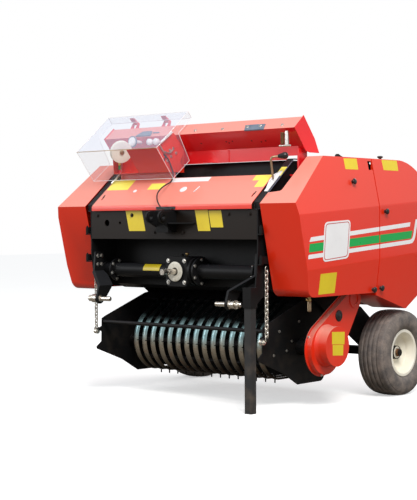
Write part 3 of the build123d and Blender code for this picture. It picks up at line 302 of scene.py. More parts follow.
@dataclass(frozen=True)
class BandSteel:
    """Worn strip, coloured by height: near black along the deck, bluish below that where a sky reflection is
    painted over some polish, silver-tan lower down where a highlight is painted over wear, brown below.
    """

    name: str
    deck: Colour = (0.012, 0.017, 0.018)
    sky_sheen_and_polish: Colour = (0.30, 0.46, 0.48)
    worn_and_highlight: Colour = (0.42, 0.37, 0.29)
    lower: Colour = (0.045, 0.030, 0.020)
    rust: Colour = (0.16, 0.07, 0.03)

    def build(self) -> bpy.types.Material:
        """Make the material."""
        tree = FinishTree(self.name)
        height = tree.height() + (tree.noise(9.0, 4.0) * 0.10 - 0.05)
        spangle = tree.noise(90.0, 4.0).between(0.35, 0.7)
        # This height ramp is partly real wear, polish and rust and partly painted light: the silver-tan band
        # paints a highlight, the bluish band a sky reflection.
        base = tree.blend(height.between(0.17, 0.30), self.lower, self.worn_and_highlight)
        base = tree.blend(height.between(0.30, 0.385), base, self.sky_sheen_and_polish)
        base = tree.blend(height.between(0.44, 0.475), base, self.deck)
        rusty = tree.noise(26.0, 6.0).between(0.56, 0.68) * height.between(0.42, 0.28)
        tree.set(
            Base_Color=tree.blend(rusty * 0.7, base, self.rust),
            Metallic=0.75 - rusty * 0.5,
            Roughness=spangle * 0.16 + 0.26 + rusty * 0.3,
            Normal=tree.bump(tree.noise(300.0, 4.0), 0.00012),
        )
        return tree.material


@dataclass(frozen=True)
class Rubber:
    """Worn tyre rubber, grey-brown with dried dust in its scuffs."""

    name: str
    colour: Colour = (0.070, 0.067, 0.068)
    dust: Colour = (0.34, 0.275, 0.235)

    def build(self) -> bpy.types.Material:
        """Make the material."""
        tree = FinishTree(self.name)
        cloud = tree.noise(16.0, 6.0).between(0.36, 0.74)
        speck = tree.noise(140.0, 5.0).between(0.42, 0.78)
        share = (cloud * 0.62 + speck * 0.30).math("ADD", 0.06, clamp=True)
        tree.set(
            Base_Color=tree.blend(share, self.colour, self.dust),
            Roughness=0.62 + share * 0.3,
            Normal=tree.bump(tree.noise(220.0, 6.0), 0.0006, 0.8),
        )
        return tree.material


@dataclass(frozen=True)
class Moulding:
    """Moulded plastic, enamel or film with a fine texture and mottling."""

    name: str
    colour: Colour
    shade: Colour
    roughness: float = 0.4
    texture: float = 0.0001
    scale: float = 18.0

    def build(self) -> bpy.types.Material:
        """Make the material."""
        tree = FinishTree(self.name)
        cloud = tree.noise(self.scale, 4.0).between(0.3, 0.75)
        tree.set(
            Base_Color=tree.blend(cloud, self.colour, self.shade),
            Roughness=tree.noise(70.0) * 0.12 + (self.roughness - 0.06),
            Normal=tree.bump(tree.noise(600.0), self.texture),
        )
        return tree.material


@dataclass(frozen=True)
class ClearSheet:
    """Clear acrylic sheet: a faint milky film, more of it on faces that look up as a painted sky reflection,
    sharp gloss and fine scratches.
    """

    name: str
    film: float = 0.06
    up_sheen: float = 0.13
    colour: Colour = (0.56, 0.62, 0.80)
    scratched: Colour = (0.90, 0.92, 0.96)

    def build(self) -> bpy.types.Material:
        """Make the material."""
        tree = FinishTree(self.name)
        scratch = tree.noise(30.0, 6.0, (1.0, 7.0, 1.0)).between(0.55, 0.8)
        tree.set(
            Base_Color=tree.blend(scratch * 0.5, self.colour, self.scratched),
            # Faces that look up get more of the pale colour: painted reflection of the sky.
            Alpha=tree.upness().between(0.15, 0.75) * self.up_sheen + (scratch * 0.02 + self.film),
            Roughness=scratch * 0.2 + 0.05,
            Normal=tree.bump(tree.noise(8.0, 1.0), 0.0004),
            IOR=1.49,
        )
        return tree.material


@dataclass(frozen=True)
class Cord:
    """Wound twine: pale fibres with twist."""

    name: str
    colour: Colour = (0.80, 0.79, 0.75)
    shade: Colour = (0.55, 0.53, 0.48)

    def build(self) -> bpy.types.Material:
        """Make the material."""
        tree = FinishTree(self.name)
        fibre = tree.noise(900.0, 3.0, (1.0, 4.0, 1.0))
        tree.set(
            Base_Color=tree.blend(fibre.between(0.35, 0.7), self.shade, self.colour),
            Roughness=fibre * 0.1 + 0.8,
            Normal=tree.bump(fibre, 0.0004),
        )
        return tree.material


def frame_paint(
    name: str, colour: Colour, faded: Colour, sky_sheen_colour: Colour, sky_sheen: float, roughness: float,
    dust: float, dust_top: float, peel: float, gloss: float,
) -> Lacquer:
    """Dull lacquer of the frame's parts, without a clear coat."""
    return Lacquer(name, colour, faded, sky_sheen_colour, sky_sheen, roughness, 0.0, dust, dust_top, peel, gloss)


def film(name: str, colour: Colour, shade: Colour, roughness: float = 0.3, scale: float = 7.0) -> Moulding:
    """Smooth stuck-on film."""
    return Moulding(name, colour, shade, roughness, 0.00002, scale)


class Finish(Enum):
    """The finishes that pieces are dressed in, one material for each."""

    # The third colour of each lacquer, blended in where faces look up, is a painted reflection of the sky.
    ORANGE = Lacquer(
        "orange_lacquer", (0.80, 0.026, 0.005), (0.76, 0.030, 0.007), (0.86, 0.39, 0.31), 0.70, dust=0.07
    )
    RED = Lacquer(
        "red_lacquer", (0.80, 0.008, 0.012), (0.74, 0.009, 0.013), (0.86, 0.40, 0.32), 0.70, dust=0.06
    )
    BLACK = frame_paint(
        "black_lacquer", (0.0062, 0.0062, 0.0068), (0.0095, 0.0094, 0.0100), (0.024, 0.025, 0.029),
        sky_sheen=0.6, roughness=0.45, dust=0.05, dust_top=0.7, peel=0.0001, gloss=0.16,
    )
    UMBER = frame_paint(
        "umber_lacquer", (0.0125, 0.0085, 0.0065), (0.0150, 0.0100, 0.0075), (0.030, 0.028, 0.027),
        sky_sheen=0.6, roughness=0.42, dust=0.05, dust_top=0.7, peel=0.0001, gloss=0.22,
    )
    CHARCOAL = frame_paint(
        "charcoal_lacquer", (0.034, 0.034, 0.035), (0.026, 0.026, 0.027), (0.05, 0.05, 0.05),
        sky_sheen=0.5, roughness=0.55, dust=0.25, dust_top=0.5, peel=0.00012, gloss=0.25,
    )
    GREY = Lacquer(
        "grey_lacquer", (0.17, 0.18, 0.26), (0.13, 0.14, 0.21), (0.30, 0.31, 0.40), 0.5, 0.35, 0.2, 0.1
    )
    ZINC = Metal("zinc_plate", (0.80, 0.79, 0.76), (0.56, 0.54, 0.50), (0.26, 0.19, 0.12))
    CHAIN = Metal("chain_steel", (0.95, 0.92, 0.86), (0.78, 0.74, 0.66), (0.42, 0.30, 0.18), 0.36)
    STEEL = Metal("pin_steel", (0.86, 0.82, 0.76), (0.62, 0.56, 0.48), (0.32, 0.20, 0.12), 0.26, 0.4)
    RUST = Metal("rusty_steel", (0.30, 0.16, 0.08), (0.17, 0.09, 0.05), (0.13, 0.055, 0.03), 0.5, 0.9)
    BRASS = Metal("brass", (0.66, 0.46, 0.19), (0.45, 0.30, 0.13), (0.22, 0.15, 0.08), 0.35, 0.5)
    TAN = Metal("tan_rod", (0.60, 0.46, 0.30), (0.44, 0.32, 0.20), (0.22, 0.14, 0.08), 0.4, 0.4)
    BAND = BandSteel("band_steel")
    TYRE = Rubber("tyre_rubber")
    HOSE = Rubber("hose_rubber", (0.012, 0.012, 0.013), (0.035, 0.032, 0.030))
    CREAM = Moulding("cream_enamel", (0.94, 0.92, 0.84), (0.84, 0.77, 0.60), 0.30, 0.00004, 5.0)
    DISC = Moulding("cream_plastic", (0.86, 0.72, 0.60), (0.78, 0.60, 0.44), 0.5)
    GUARD = Moulding("guard_plastic", (0.74, 0.72, 0.64), (0.40, 0.36, 0.28), 0.45, scale=30.0)
    KNOB = Moulding("knob_plastic", (0.008, 0.008, 0.009), (0.016, 0.015, 0.016), 0.36)
    YELLOW = film("yellow_film", (0.80, 0.62, 0.020), (0.72, 0.54, 0.018), 0.36, 9.0)
    LEMON = film("lemon_film", (0.95, 0.86, 0.15), (0.90, 0.79, 0.11), 0.34, 9.0)
    WHITE = film("white_film", (0.86, 0.86, 0.88), (0.80, 0.80, 0.82))
    GREEN = film("green_film", (0.002, 0.40, 0.075), (0.003, 0.36, 0.07))
    LINE = film("red_film", (0.55, 0.03, 0.03), (0.48, 0.03, 0.03))
    # Near black for slots and openings: painted shade where an opening is dark inside.
    DARK = Moulding("painted_hole_shade", (0.004, 0.004, 0.004), (0.008, 0.007, 0.006), 0.7)
    BLUE = Moulding("blue_cap", (0.02, 0.28, 0.72), (0.02, 0.22, 0.6), 0.35)
    SLATE = Moulding("slate_plastic", (0.16, 0.20, 0.27), (0.10, 0.13, 0.18), 0.4)
    CLEAR = ClearSheet("clear_acrylic")
    # Nearly opaque white for rods along the lid's cut edges: painted highlight.
    EDGE = ClearSheet("acrylic_edge_glint", 0.86, 0.0, (0.98, 0.98, 1.0))
    TWINE = Cord("twine_fibre")

    @property
    def material(self) -> bpy.types.Material:
        """The finish's material, made the first time it is asked for."""
        return bpy.data.materials.get(self.value.name) or self.value.build()


class Slot(Enum):
    """The record's material slots."""

    ORANGE = "orange_paint"
    BLACK = "black_paint"
    RUBBER = "rubber_black"
    CREAM = "cream_paint"
    CREAM_PLASTIC = "cream_plastic"
    PLASTIC = "black_plastic"
    ZINC = "zinc"
    CLEAR = "clear_plastic"
    TWINE = "twine"


# ---------------------------------------------------------------- pieces
def add_object(name: str, data: bpy.types.ID | None) -> Piece:
    """Link a new object to the scene."""
    made = bpy.data.objects.new(name, data)
    bpy.context.scene.collection.objects.link(made)
    return made


def add_piece(
    name: str,
    body: str,
    mesh: Mesh | bpy.types.Mesh,
    finish: Finish,
    node: str = "",
) -> Piece:
    """Turn a mesh into a finished piece.

    Args:
        name: the piece's name.
        body: the CAD body it rides on.
        mesh: its geometry, in place.
        finish: its finish.
        node: the CAD node it stands for, if any.

    Returns:
        The piece's object.
    """
    data = mesh
    if isinstance(mesh, Mesh):
        data = bpy.data.meshes.new(name)
        mesh.to_mesh(data)
        mesh.free()
    if not data.materials:
        data.materials.append(finish.material)
    piece = add_object(name, data)
    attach(piece, body)
    if node:
        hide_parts(node)
    log.info("%s: %d faces on %s", name, len(data.polygons), body)
    return piece


def smooth_by_angle(mesh: Mesh, degrees: float = 38.0) -> Mesh:
    """Shade a mesh smooth but for its edges over an angle, and return it."""
    limit = math.radians(degrees)
    for face in mesh.faces:
        face.smooth = True
    for edge in mesh.edges:
        edge.smooth = len(edge.link_faces) == 2 and edge.calc_face_angle(0.0) < limit
    return mesh


def outward(mesh: Mesh, degrees: float = 38.0) -> Mesh:
    """Turn a mesh's faces outwards, shade it, and return it."""
    bmesh.ops.recalc_face_normals(mesh, faces=mesh.faces)
    return smooth_by_angle(mesh, degrees)


def weigh_normals(piece: Piece) -> None:
    """Keep flat faces flat beside their rounded edges."""
    modifier = piece.modifiers.new("even_faces", "WEIGHTED_NORMAL")
    modifier.keep_sharp = True
    modifier.weight = 50


def refined(node: str, edge: float, bend: float = 0.0) -> Mesh:
    """Merged copy of a CAD node with its edges eased.

    Args:
        node: the CAD node.
        edge: radius of the sharp edges.
        bend: radius of the shallow bends in a sheet, 0 to leave them.

    Returns:
        The new mesh.
    """
    mesh = bmesh.new()
    mesh.from_mesh(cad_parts[node].data)
    bmesh.ops.remove_doubles(mesh, verts=mesh.verts, dist=MERGE)
    bmesh.ops.dissolve_degenerate(mesh, edges=mesh.edges, dist=MERGE / 2)
    bmesh.ops.dissolve_limit(mesh, angle_limit=math.radians(FLAT_DEGREES), verts=mesh.verts, edges=mesh.edges)
    for radius, low, high in ((bend, 6.0, 60.0), (edge, 60.0, 180.0)):
        if not radius:
            continue
        least_area = 25e-6 * (radius / 0.001)
        chosen = [
            e
            for e in mesh.edges
            if len(e.link_faces) == 2
            and low <= math.degrees(e.calc_face_angle(0.0)) < high
            and e.calc_length() > radius
            and min(f.calc_area() for f in e.link_faces) > least_area
        ]
        bmesh.ops.bevel(
            mesh, geom=chosen, offset=radius, offset_type="OFFSET", segments=2, profile=0.5, affect="EDGES",
            clamp_overlap=True,
        )
    return smooth_by_angle(mesh)


def dress(nodes: dict[str, Finish]) -> None:
    """Give CAD nodes their finish where their own shape stands."""
    for node, finish in nodes.items():
        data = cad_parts[node].data
        data.materials.clear()
        data.materials.append(finish.material)
        log.info("%s: CAD shape, %s", node, finish.value.name)


def refine_nodes(
    nodes: dict[str, tuple[str, ...]], finish: Finish, slot: Slot, edge: float, bend: float = 0.0
) -> None:
    """Replace CAD nodes by copies with eased edges.

    Args:
        nodes: the nodes of each body.
        finish: their finish.
        slot: not used.
        edge: radius of the sharp edges.
        bend: radius of the shallow bends.
    """
    for body, names in nodes.items():
        for node in names:
            weigh_normals(add_piece(node + "_shape", body, refined(node, edge, bend), finish, node))


# ---------------------------------------------------------------- outlines and solids
@dataclass(frozen=True)
class Panel:
    """A flat place on the machine: an origin with the directions along and up it."""

    origin: Point
    along: Point = LEFT
    up: Point = UP

    def out(self) -> Vector:
        """Direction out of the panel."""
        return Vector(self.along).cross(Vector(self.up)).normalized()

    def at(self, u: float, v: float, w: float = 0.0) -> Vector:
        """Point at u along, v up and w out."""
        return Vector(self.origin) + Vector(self.along) * u + Vector(self.up) * v + self.out() * w


def side_panel(x: float, s: float = 1.0, run: float = 0.0, z: float = 0.0) -> Panel:
    """Upright panel that faces sideways, its runs and heights measured from a point."""
    return Panel(place(x, run, z), (0.0, s, 0.0))


def box_corners(x0: float, y0: float, x1: float, y1: float) -> list[Flat]:
    """Corners of a rectangle, anticlockwise."""
    return [(x0, y0), (x1, y0), (x1, y1), (x0, y1)]


def arc_points(here: Vector, back: Vector, ahead: Vector, radius: float, steps: int) -> list[Vector]:
    """Arc that eases one corner.

    Args:
        here: the corner.
        back: the way to the point before it.
        ahead: the way to the point after it.
        radius: how far from the corner the arc starts.
        steps: how many runs it has.

    Returns:
        The arc's points.
    """
    start = here + back.normalized() * min(radius, back.length * 0.45)
    end = here + ahead.normalized() * min(radius, ahead.length * 0.45)
    shares = [k / steps for k in range(steps + 1)]
    return [start * (1 - t) ** 2 + here * 2 * t * (1 - t) + end * t * t for t in shares]


def rounded(corners: list[Flat], radius: float, steps: int = 4) -> list[Flat]:
    """Outline with its corners rounded.

    Args:
        corners: the outline's corners, anticlockwise.
        radius: how far from each corner its arc starts.
        steps: runs on each arc.

    Returns:
        The new outline.
    """
    if radius <= 0:
        return list(corners)
    points = []
    for i, corner in enumerate(corners):
        here = Vector(corner)
        before, after = Vector(corners[i - 1]), Vector(corners[(i + 1) % len(corners)])
        points += [tuple(p) for p in arc_points(here, before - here, after - here, radius, steps)]
    return points


def bent(points: list[Point], radius: float, steps: int = 6) -> list[Point]:
    """Path with its corners bent to a radius, as a rod is."""
    path = [Vector(points[0])]
    for before, here, after in zip(points, points[1:], points[2:]):
        corner = Vector(here)
        back, ahead = Vector(before) - corner, Vector(after) - corner
        reach = min(radius, back.length * 0.45, ahead.length * 0.45)
        path += arc_points(corner, back, ahead, reach, steps)
    return [*path, Vector(points[-1])]


def hexagon(radius: float) -> list[Flat]:
    """Outline of a nut, its corners eased."""
    turns = [math.radians(60 * k) for k in range(6)]
    return rounded([(radius * math.cos(turn), radius * math.sin(turn)) for turn in turns], 0.002, 3)


def bridge(mesh: Mesh, rings: list[list[bmesh.types.BMVert]], closed: bool = False) -> None:
    """Join each ring of vertices to the next with faces, and the last to the first if closed."""
    for first, second in zip(rings, rings[1:] + (rings[:1] if closed else [])):
        count = max(len(first), len(second))
        for k in range(count):
            n = (k + 1) % count
            if len(first) == 1 and len(second) == 1:
                continue
            if len(first) == 1:
                mesh.faces.new((first[0], second[n], second[k]))
            elif len(second) == 1:
                mesh.faces.new((first[k], first[n], second[0]))
            else:
                mesh.faces.new((first[k], first[n], second[n], second[k]))


def circle(centre: Vector, side: Vector, other: Vector, radius: float, steps: int) -> list[Vector]:
    """Points round a circle, its plane given by two directions."""
    turns = [math.tau * k / steps for k in range(steps)]
    return [centre + (side * math.cos(turn) + other * math.sin(turn)) * radius for turn in turns]


def slab(panel: Panel, outline: list[Flat], low: float, high: float, mesh: Mesh | None = None) -> Mesh:
    """Thin solid of an outline on a panel, from low to high above it.

    Args:
        panel: where it lies.
        outline: its outline along and up the panel.
        low: its lower face's height.
        high: its upper face's height.
        mesh: a mesh to add it to, or None for a new one.

    Returns:
        The mesh.
    """
    mesh = mesh or bmesh.new()
    turn = sum(a[0] * b[1] - b[0] * a[1] for a, b in zip(outline, outline[1:] + outline[:1]))
    points = outline if turn > 0 else outline[::-1]
    under, over = ([mesh.verts.new(panel.at(u, v, w)) for u, v in points] for w in (low, high))
    mesh.faces.new(over)
    mesh.faces.new(under[::-1])
    bridge(mesh, [under, over])
    return mesh


def turned(
    profile: list[Flat],
    origin: Point,
    axis: Point,
    steps: int = 32,
    mesh: Mesh | None = None,
    closed: bool = False,
) -> Mesh:
    """Solid of revolution.

    Args:
        profile: (distance along the axis, radius) pairs, from one end to the other.
        origin: where the axis starts.
        axis: its direction.
        steps: segments round it.
        mesh: a mesh to add it to, or None for a new one.
        closed: whether the profile is a closed loop, as round a rim.

    Returns:
        The mesh.
    """
    mesh = mesh or bmesh.new()
    ahead = Vector(axis).normalized()
    side = ahead.orthogonal().normalized()
    rings = []
    for distance, radius in profile:
        centre = Vector(origin) + ahead * distance
        points = [centre] if radius < 1e-7 else circle(centre, side, ahead.cross(side), radius, steps)
        rings.append([mesh.verts.new(point) for point in points])
    bridge(mesh, rings, closed)
    if not closed:
        for ring in (rings[0][::-1], rings[-1]):
            if len(ring) > 1:
                mesh.faces.new(ring)
    return mesh


def tube(
    path: list[Point], radius: float, sides: int = 12, closed: bool = False, mesh: Mesh | None = None
) -> Mesh:
    """Round bar along a path, its frame carried along without twist.

    Args:
        path: the points it follows.
        radius: its radius.
        sides: facets round it.
        closed: whether it joins its own start.
        mesh: a mesh to add it to, or None for a new one.

    Returns:
        The mesh.
    """
    mesh = mesh or bmesh.new()
    points = [Vector(p) for p in path]
    last = len(points) - 1
    rings = []
    side = None
    for i, point in enumerate(points):
        after = points[(i + 1) % len(points)] if closed else points[min(i + 1, last)]
        ahead = (after - points[i - 1 if closed else max(i - 1, 0)]).normalized()
        if side is None:
            side = ahead.orthogonal().normalized()
        side = (side - ahead * side.dot(ahead)).normalized()
        rings.append([mesh.verts.new(p) for p in circle(point, side, ahead.cross(side), radius, sides)])
    bridge(mesh, rings, closed)
    if not closed:
        mesh.faces.new(rings[0][::-1])
        mesh.faces.new(rings[-1])
    return mesh


def patch(panel: Panel, width: float, height: float, low: float, high: float, ease: float) -> Mesh:
    """Flat block centred on a panel's origin, its outline's corners eased."""
    w, h = width / 2, height / 2
    return slab(panel, rounded(box_corners(-w, -h, w, h), ease, 3), low, high)


def add_label(
    name: str, body: str, panel: Panel, corners: list[Flat], finish: Finish, radius: float = 0.004,
    low: float = 0.0001,
) -> None:
    """Stick one bare label on a panel."""
    add_piece(name, body, slab(panel, rounded(corners, radius), low, low + LABEL_FILM), finish)



# ---------------------------------------------------------------- geometry nodes
class Pattern(NodeTree):
    """Geometry node tree with named inputs, run once into a plain mesh."""

    def __init__(self, name: str) -> None:
        """Start an empty tree of that name."""
        tree = bpy.data.node_groups.new(name, "GeometryNodeTree")
        for way in ("INPUT", "OUTPUT"):
            tree.interface.new_socket("Geometry", in_out=way, socket_type="NodeSocketGeometry")
        super().__init__(tree, "NodeGroupOutput")
        self.entry = tree.nodes.new("NodeGroupInput")
        self.values: dict[str, float | int] = {}

    def size(self, name: str, value: float | int) -> Value:
        """Add a named input with its value, and return it inside the tree."""
        kind = "NodeSocketInt" if isinstance(value, int) else "NodeSocketFloat"
        item = self.tree.interface.new_socket(name, in_out="INPUT", socket_type=kind)
        self.values[item.identifier] = value
        return Value(self, next(s for s in self.entry.outputs if s.identifier == item.identifier))

    def base(self) -> Value:
        """The geometry that the tree is run on."""
        return Value(self, self.entry.outputs[0])

    def vector(self, **axes: Value) -> Value:
        """Vector from its X, Y and Z."""
        return self.node("ShaderNodeCombineXYZ", inputs=axes)

    def attribute(self, name: str) -> Value:
        """A named vector of the base's points."""
        return self.node("GeometryNodeInputNamedAttribute", {"data_type": "FLOAT_VECTOR"}, {"Name": name})

    def spread(self, points: Value, instance: Value, **turn: Value) -> Value:
        """One instance on each point."""
        inputs = {"Points": points, "Instance": instance, **turn}
        return self.node("GeometryNodeInstanceOnPoints", inputs=inputs)

    def run(self, base: bpy.types.Mesh, geometry: Value, finish: Finish) -> bpy.types.Mesh:
        """Close the tree and evaluate it.

        Args:
            base: the mesh that it starts from.
            geometry: the tree's last geometry.
            finish: the finish of the result.

        Returns:
            The result as a plain mesh.
        """
        real = self.node("GeometryNodeRealizeInstances", inputs={0: geometry})
        self.end(self.node("GeometryNodeSetMaterial", inputs={"Geometry": real, "Material": finish.material}))
        holder = add_object(self.tree.name, base)
        modifier = holder.modifiers.new("pattern", "NODES")
        modifier.node_group = self.tree
        for identifier, value in self.values.items():
            modifier[identifier] = value
        graph = bpy.context.evaluated_depsgraph_get()
        result = bpy.data.meshes.new_from_object(holder.evaluated_get(graph), depsgraph=graph)
        holder.modifiers.remove(modifier)
        bpy.data.objects.remove(holder)
        return result


def points_mesh(spots: list[Spot], name: str) -> bpy.types.Mesh:
    """Loose points that each carry a vector, as an attribute of that name."""
    mesh = bpy.data.meshes.new("places")
    mesh.from_pydata([tuple(at) for at, _ in spots], [], [])
    attribute = mesh.attributes.new(name, "FLOAT_VECTOR", "POINT")
    attribute.data.foreach_set("vector", [c for _, vector in spots for c in vector])
    return mesh


def add_bolts(
    name: str,
    body: str,
    spots: list[Spot],
    radius: float,
    finish: Finish = Finish.ZINC,
) -> None:
    """Hexagon bolt heads on washers, one at each place, as one piece.

    Args:
        name: the piece's name.
        body: the CAD body it rides on.
        spots: where each stands and which way it faces.
        radius: the head's radius across its corners.
        finish: their finish.
    """
    pattern = Pattern("bolt_heads")
    size = pattern.size("Head radius", radius)
    whole = {"fill_type": "NGON"}
    washer = pattern.node(
        "GeometryNodeMeshCylinder", whole, {"Vertices": 20, "Radius": size * 1.45, "Depth": size * 0.3}
    )
    head = pattern.node(
        "GeometryNodeMeshCone",
        whole,
        {"Vertices": 6, "Radius Bottom": size, "Radius Top": size * 0.9, "Depth": size * 0.75},
    )
    lift = pattern.vector(Z=size * 0.12)
    raised = pattern.node("GeometryNodeTransform", inputs={"Geometry": head, "Translation": lift})
    both = pattern.node("GeometryNodeJoinGeometry", inputs={0: [washer, raised]})
    facing = {"Vector": pattern.attribute("out")}
    turn = pattern.node("FunctionNodeAlignRotationToVector", {"axis": "Z"}, facing)
    spread = pattern.spread(pattern.base(), both, Rotation=turn)
    heads = pattern.run(points_mesh(spots, "out"), spread, finish)
    add_piece(name, body, heads, finish)


def ring_spots(x: float, run: float, z: float, radius: float, start: float, out: Point) -> list[Spot]:
    """Six places round a circle that faces sideways, the first at an angle of start degrees."""
    turns = [math.radians(start + 60 * k) for k in range(6)]
    return [(place(x, run + radius * math.cos(turn), z + radius * math.sin(turn)), out) for turn in turns]


# ---------------------------------------------------------------- sub-assemblies
@dataclass
class Studio:
    """Floor, lamps and camera."""

    floor_half: float = 30.0
    floor_glow: float = 0.45
    earth: Colour = (0.22, 0.20, 0.17)
    eye: Point = (5.0889, -6.2083, 1.0290)
    azimuth: float = 40.642
    pitch: float = 1.119
    roll: float = -0.289
    lens: float = 94.584
    sensor: float = 36.0
    sky: float = 0.62
    sky_colour: Colour = (0.96, 0.98, 1.0)

    def camera(self) -> None:
        """Place the camera."""
        az, tip, roll = (math.radians(a) for a in (self.azimuth, self.pitch, self.roll))
        ahead = Vector((-math.sin(az) * math.cos(tip), math.cos(az) * math.cos(tip), -math.sin(tip)))
        right = Vector((math.cos(az), math.sin(az), 0.0))
        up = right.cross(ahead)
        across = right * math.cos(roll) + up * math.sin(roll)
        upward = up * math.cos(roll) - right * math.sin(roll)
        data = bpy.data.cameras.new("camera")
        data.sensor_width = self.sensor
        data.lens = self.lens
        data.clip_end = 100.0
        camera = add_object("camera", data)
        turn = Matrix((across, upward, -ahead)).transposed().to_4x4()
        camera.matrix_world = Matrix.Translation(self.eye) @ turn
        bpy.context.scene.camera = camera

    def lamp(self, name: str, at: Point, target: Point, size: float, power: float, colour: Colour) -> None:
        """Add one soft area lamp."""
        data = bpy.data.lights.new(name, "AREA")
        data.shape = "DISK"
        data.size = size
        data.energy = power
        data.color = colour
        lamp = add_object(name, data)
        lamp.location = at
        lamp.rotation_mode = "QUATERNION"
        lamp.rotation_quaternion = (Vector(target) - Vector(at)).to_track_quat("-Z", "Y")

    def world(self) -> None:
        """Set an even pale sky, white where the camera and glass see it."""
        world = bpy.data.worlds.new("sky")
        bpy.context.scene.world = world
        world.use_nodes = True
        tree = NodeTree(world.node_tree, "ShaderNodeOutputWorld")
        light = tree.node("ShaderNodeBackground", inputs={"Color": self.sky_colour, "Strength": self.sky})
        seen = tree.node("ShaderNodeBackground", inputs={"Color": PURE_WHITE})
        camera = tree.node("ShaderNodeLightPath", output="Is Camera Ray")
        glass = tree.node("ShaderNodeLightPath", output="Is Transmission Ray")
        either = camera.math("MAXIMUM", glass)
        tree.end(tree.node("ShaderNodeMixShader", inputs={0: either, 1: light, 2: seen}))

    def floor(self) -> None:
        """Lay a floor that looks white, keeps shadows and throws little light back up."""
        mesh = bpy.data.meshes.new("floor")
        h = self.floor_half
        mesh.from_pydata([(x, y, 0) for x, y in box_corners(-h, -h, h, h)], [], [(0, 1, 2, 3)])
        tree = FinishTree("pale_floor")
        cloud = tree.noise(1.5)
        tree.set(
            Base_Color=tree.blend(cloud, (0.80, 0.80, 0.80), (0.84, 0.84, 0.84)),
            Roughness=cloud * 0.1 + 0.85,
            Emission_Color=PURE_WHITE,
            Emission_Strength=self.floor_glow,
            Specular_IOR_Level=0.0,
        )
        seen = tree.node("ShaderNodeLightPath", output="Is Camera Ray")
        earth = tree.node("ShaderNodeBsdfDiffuse", inputs={"Color": self.earth})
        tree.end(tree.node("ShaderNodeMixShader", inputs={0: seen, 1: earth, 2: tree.shader}))
        mesh.materials.append(tree.material)
        add_object("floor", mesh)

    def build(self) -> None:
        """Build the studio."""
        bpy.context.scene.view_settings.view_transform = "Standard"
        self.camera()
        self.world()
        self.floor()
        self.lamp("key_lamp", (5.0, -4.0, 6.5), (0.0, -0.2, 0.7), 3.5, 620.0, (1.0, 0.98, 0.95))
        self.lamp("fill_lamp", (-6.0, -6.0, 3.5), (0.0, -0.3, 0.7), 4.0, 170.0, (0.95, 0.97, 1.0))
        self.lamp("back_lamp", (1.0, 6.0, 5.0), (0.0, 0.3, 0.8), 4.0, 150.0, PURE_WHITE)


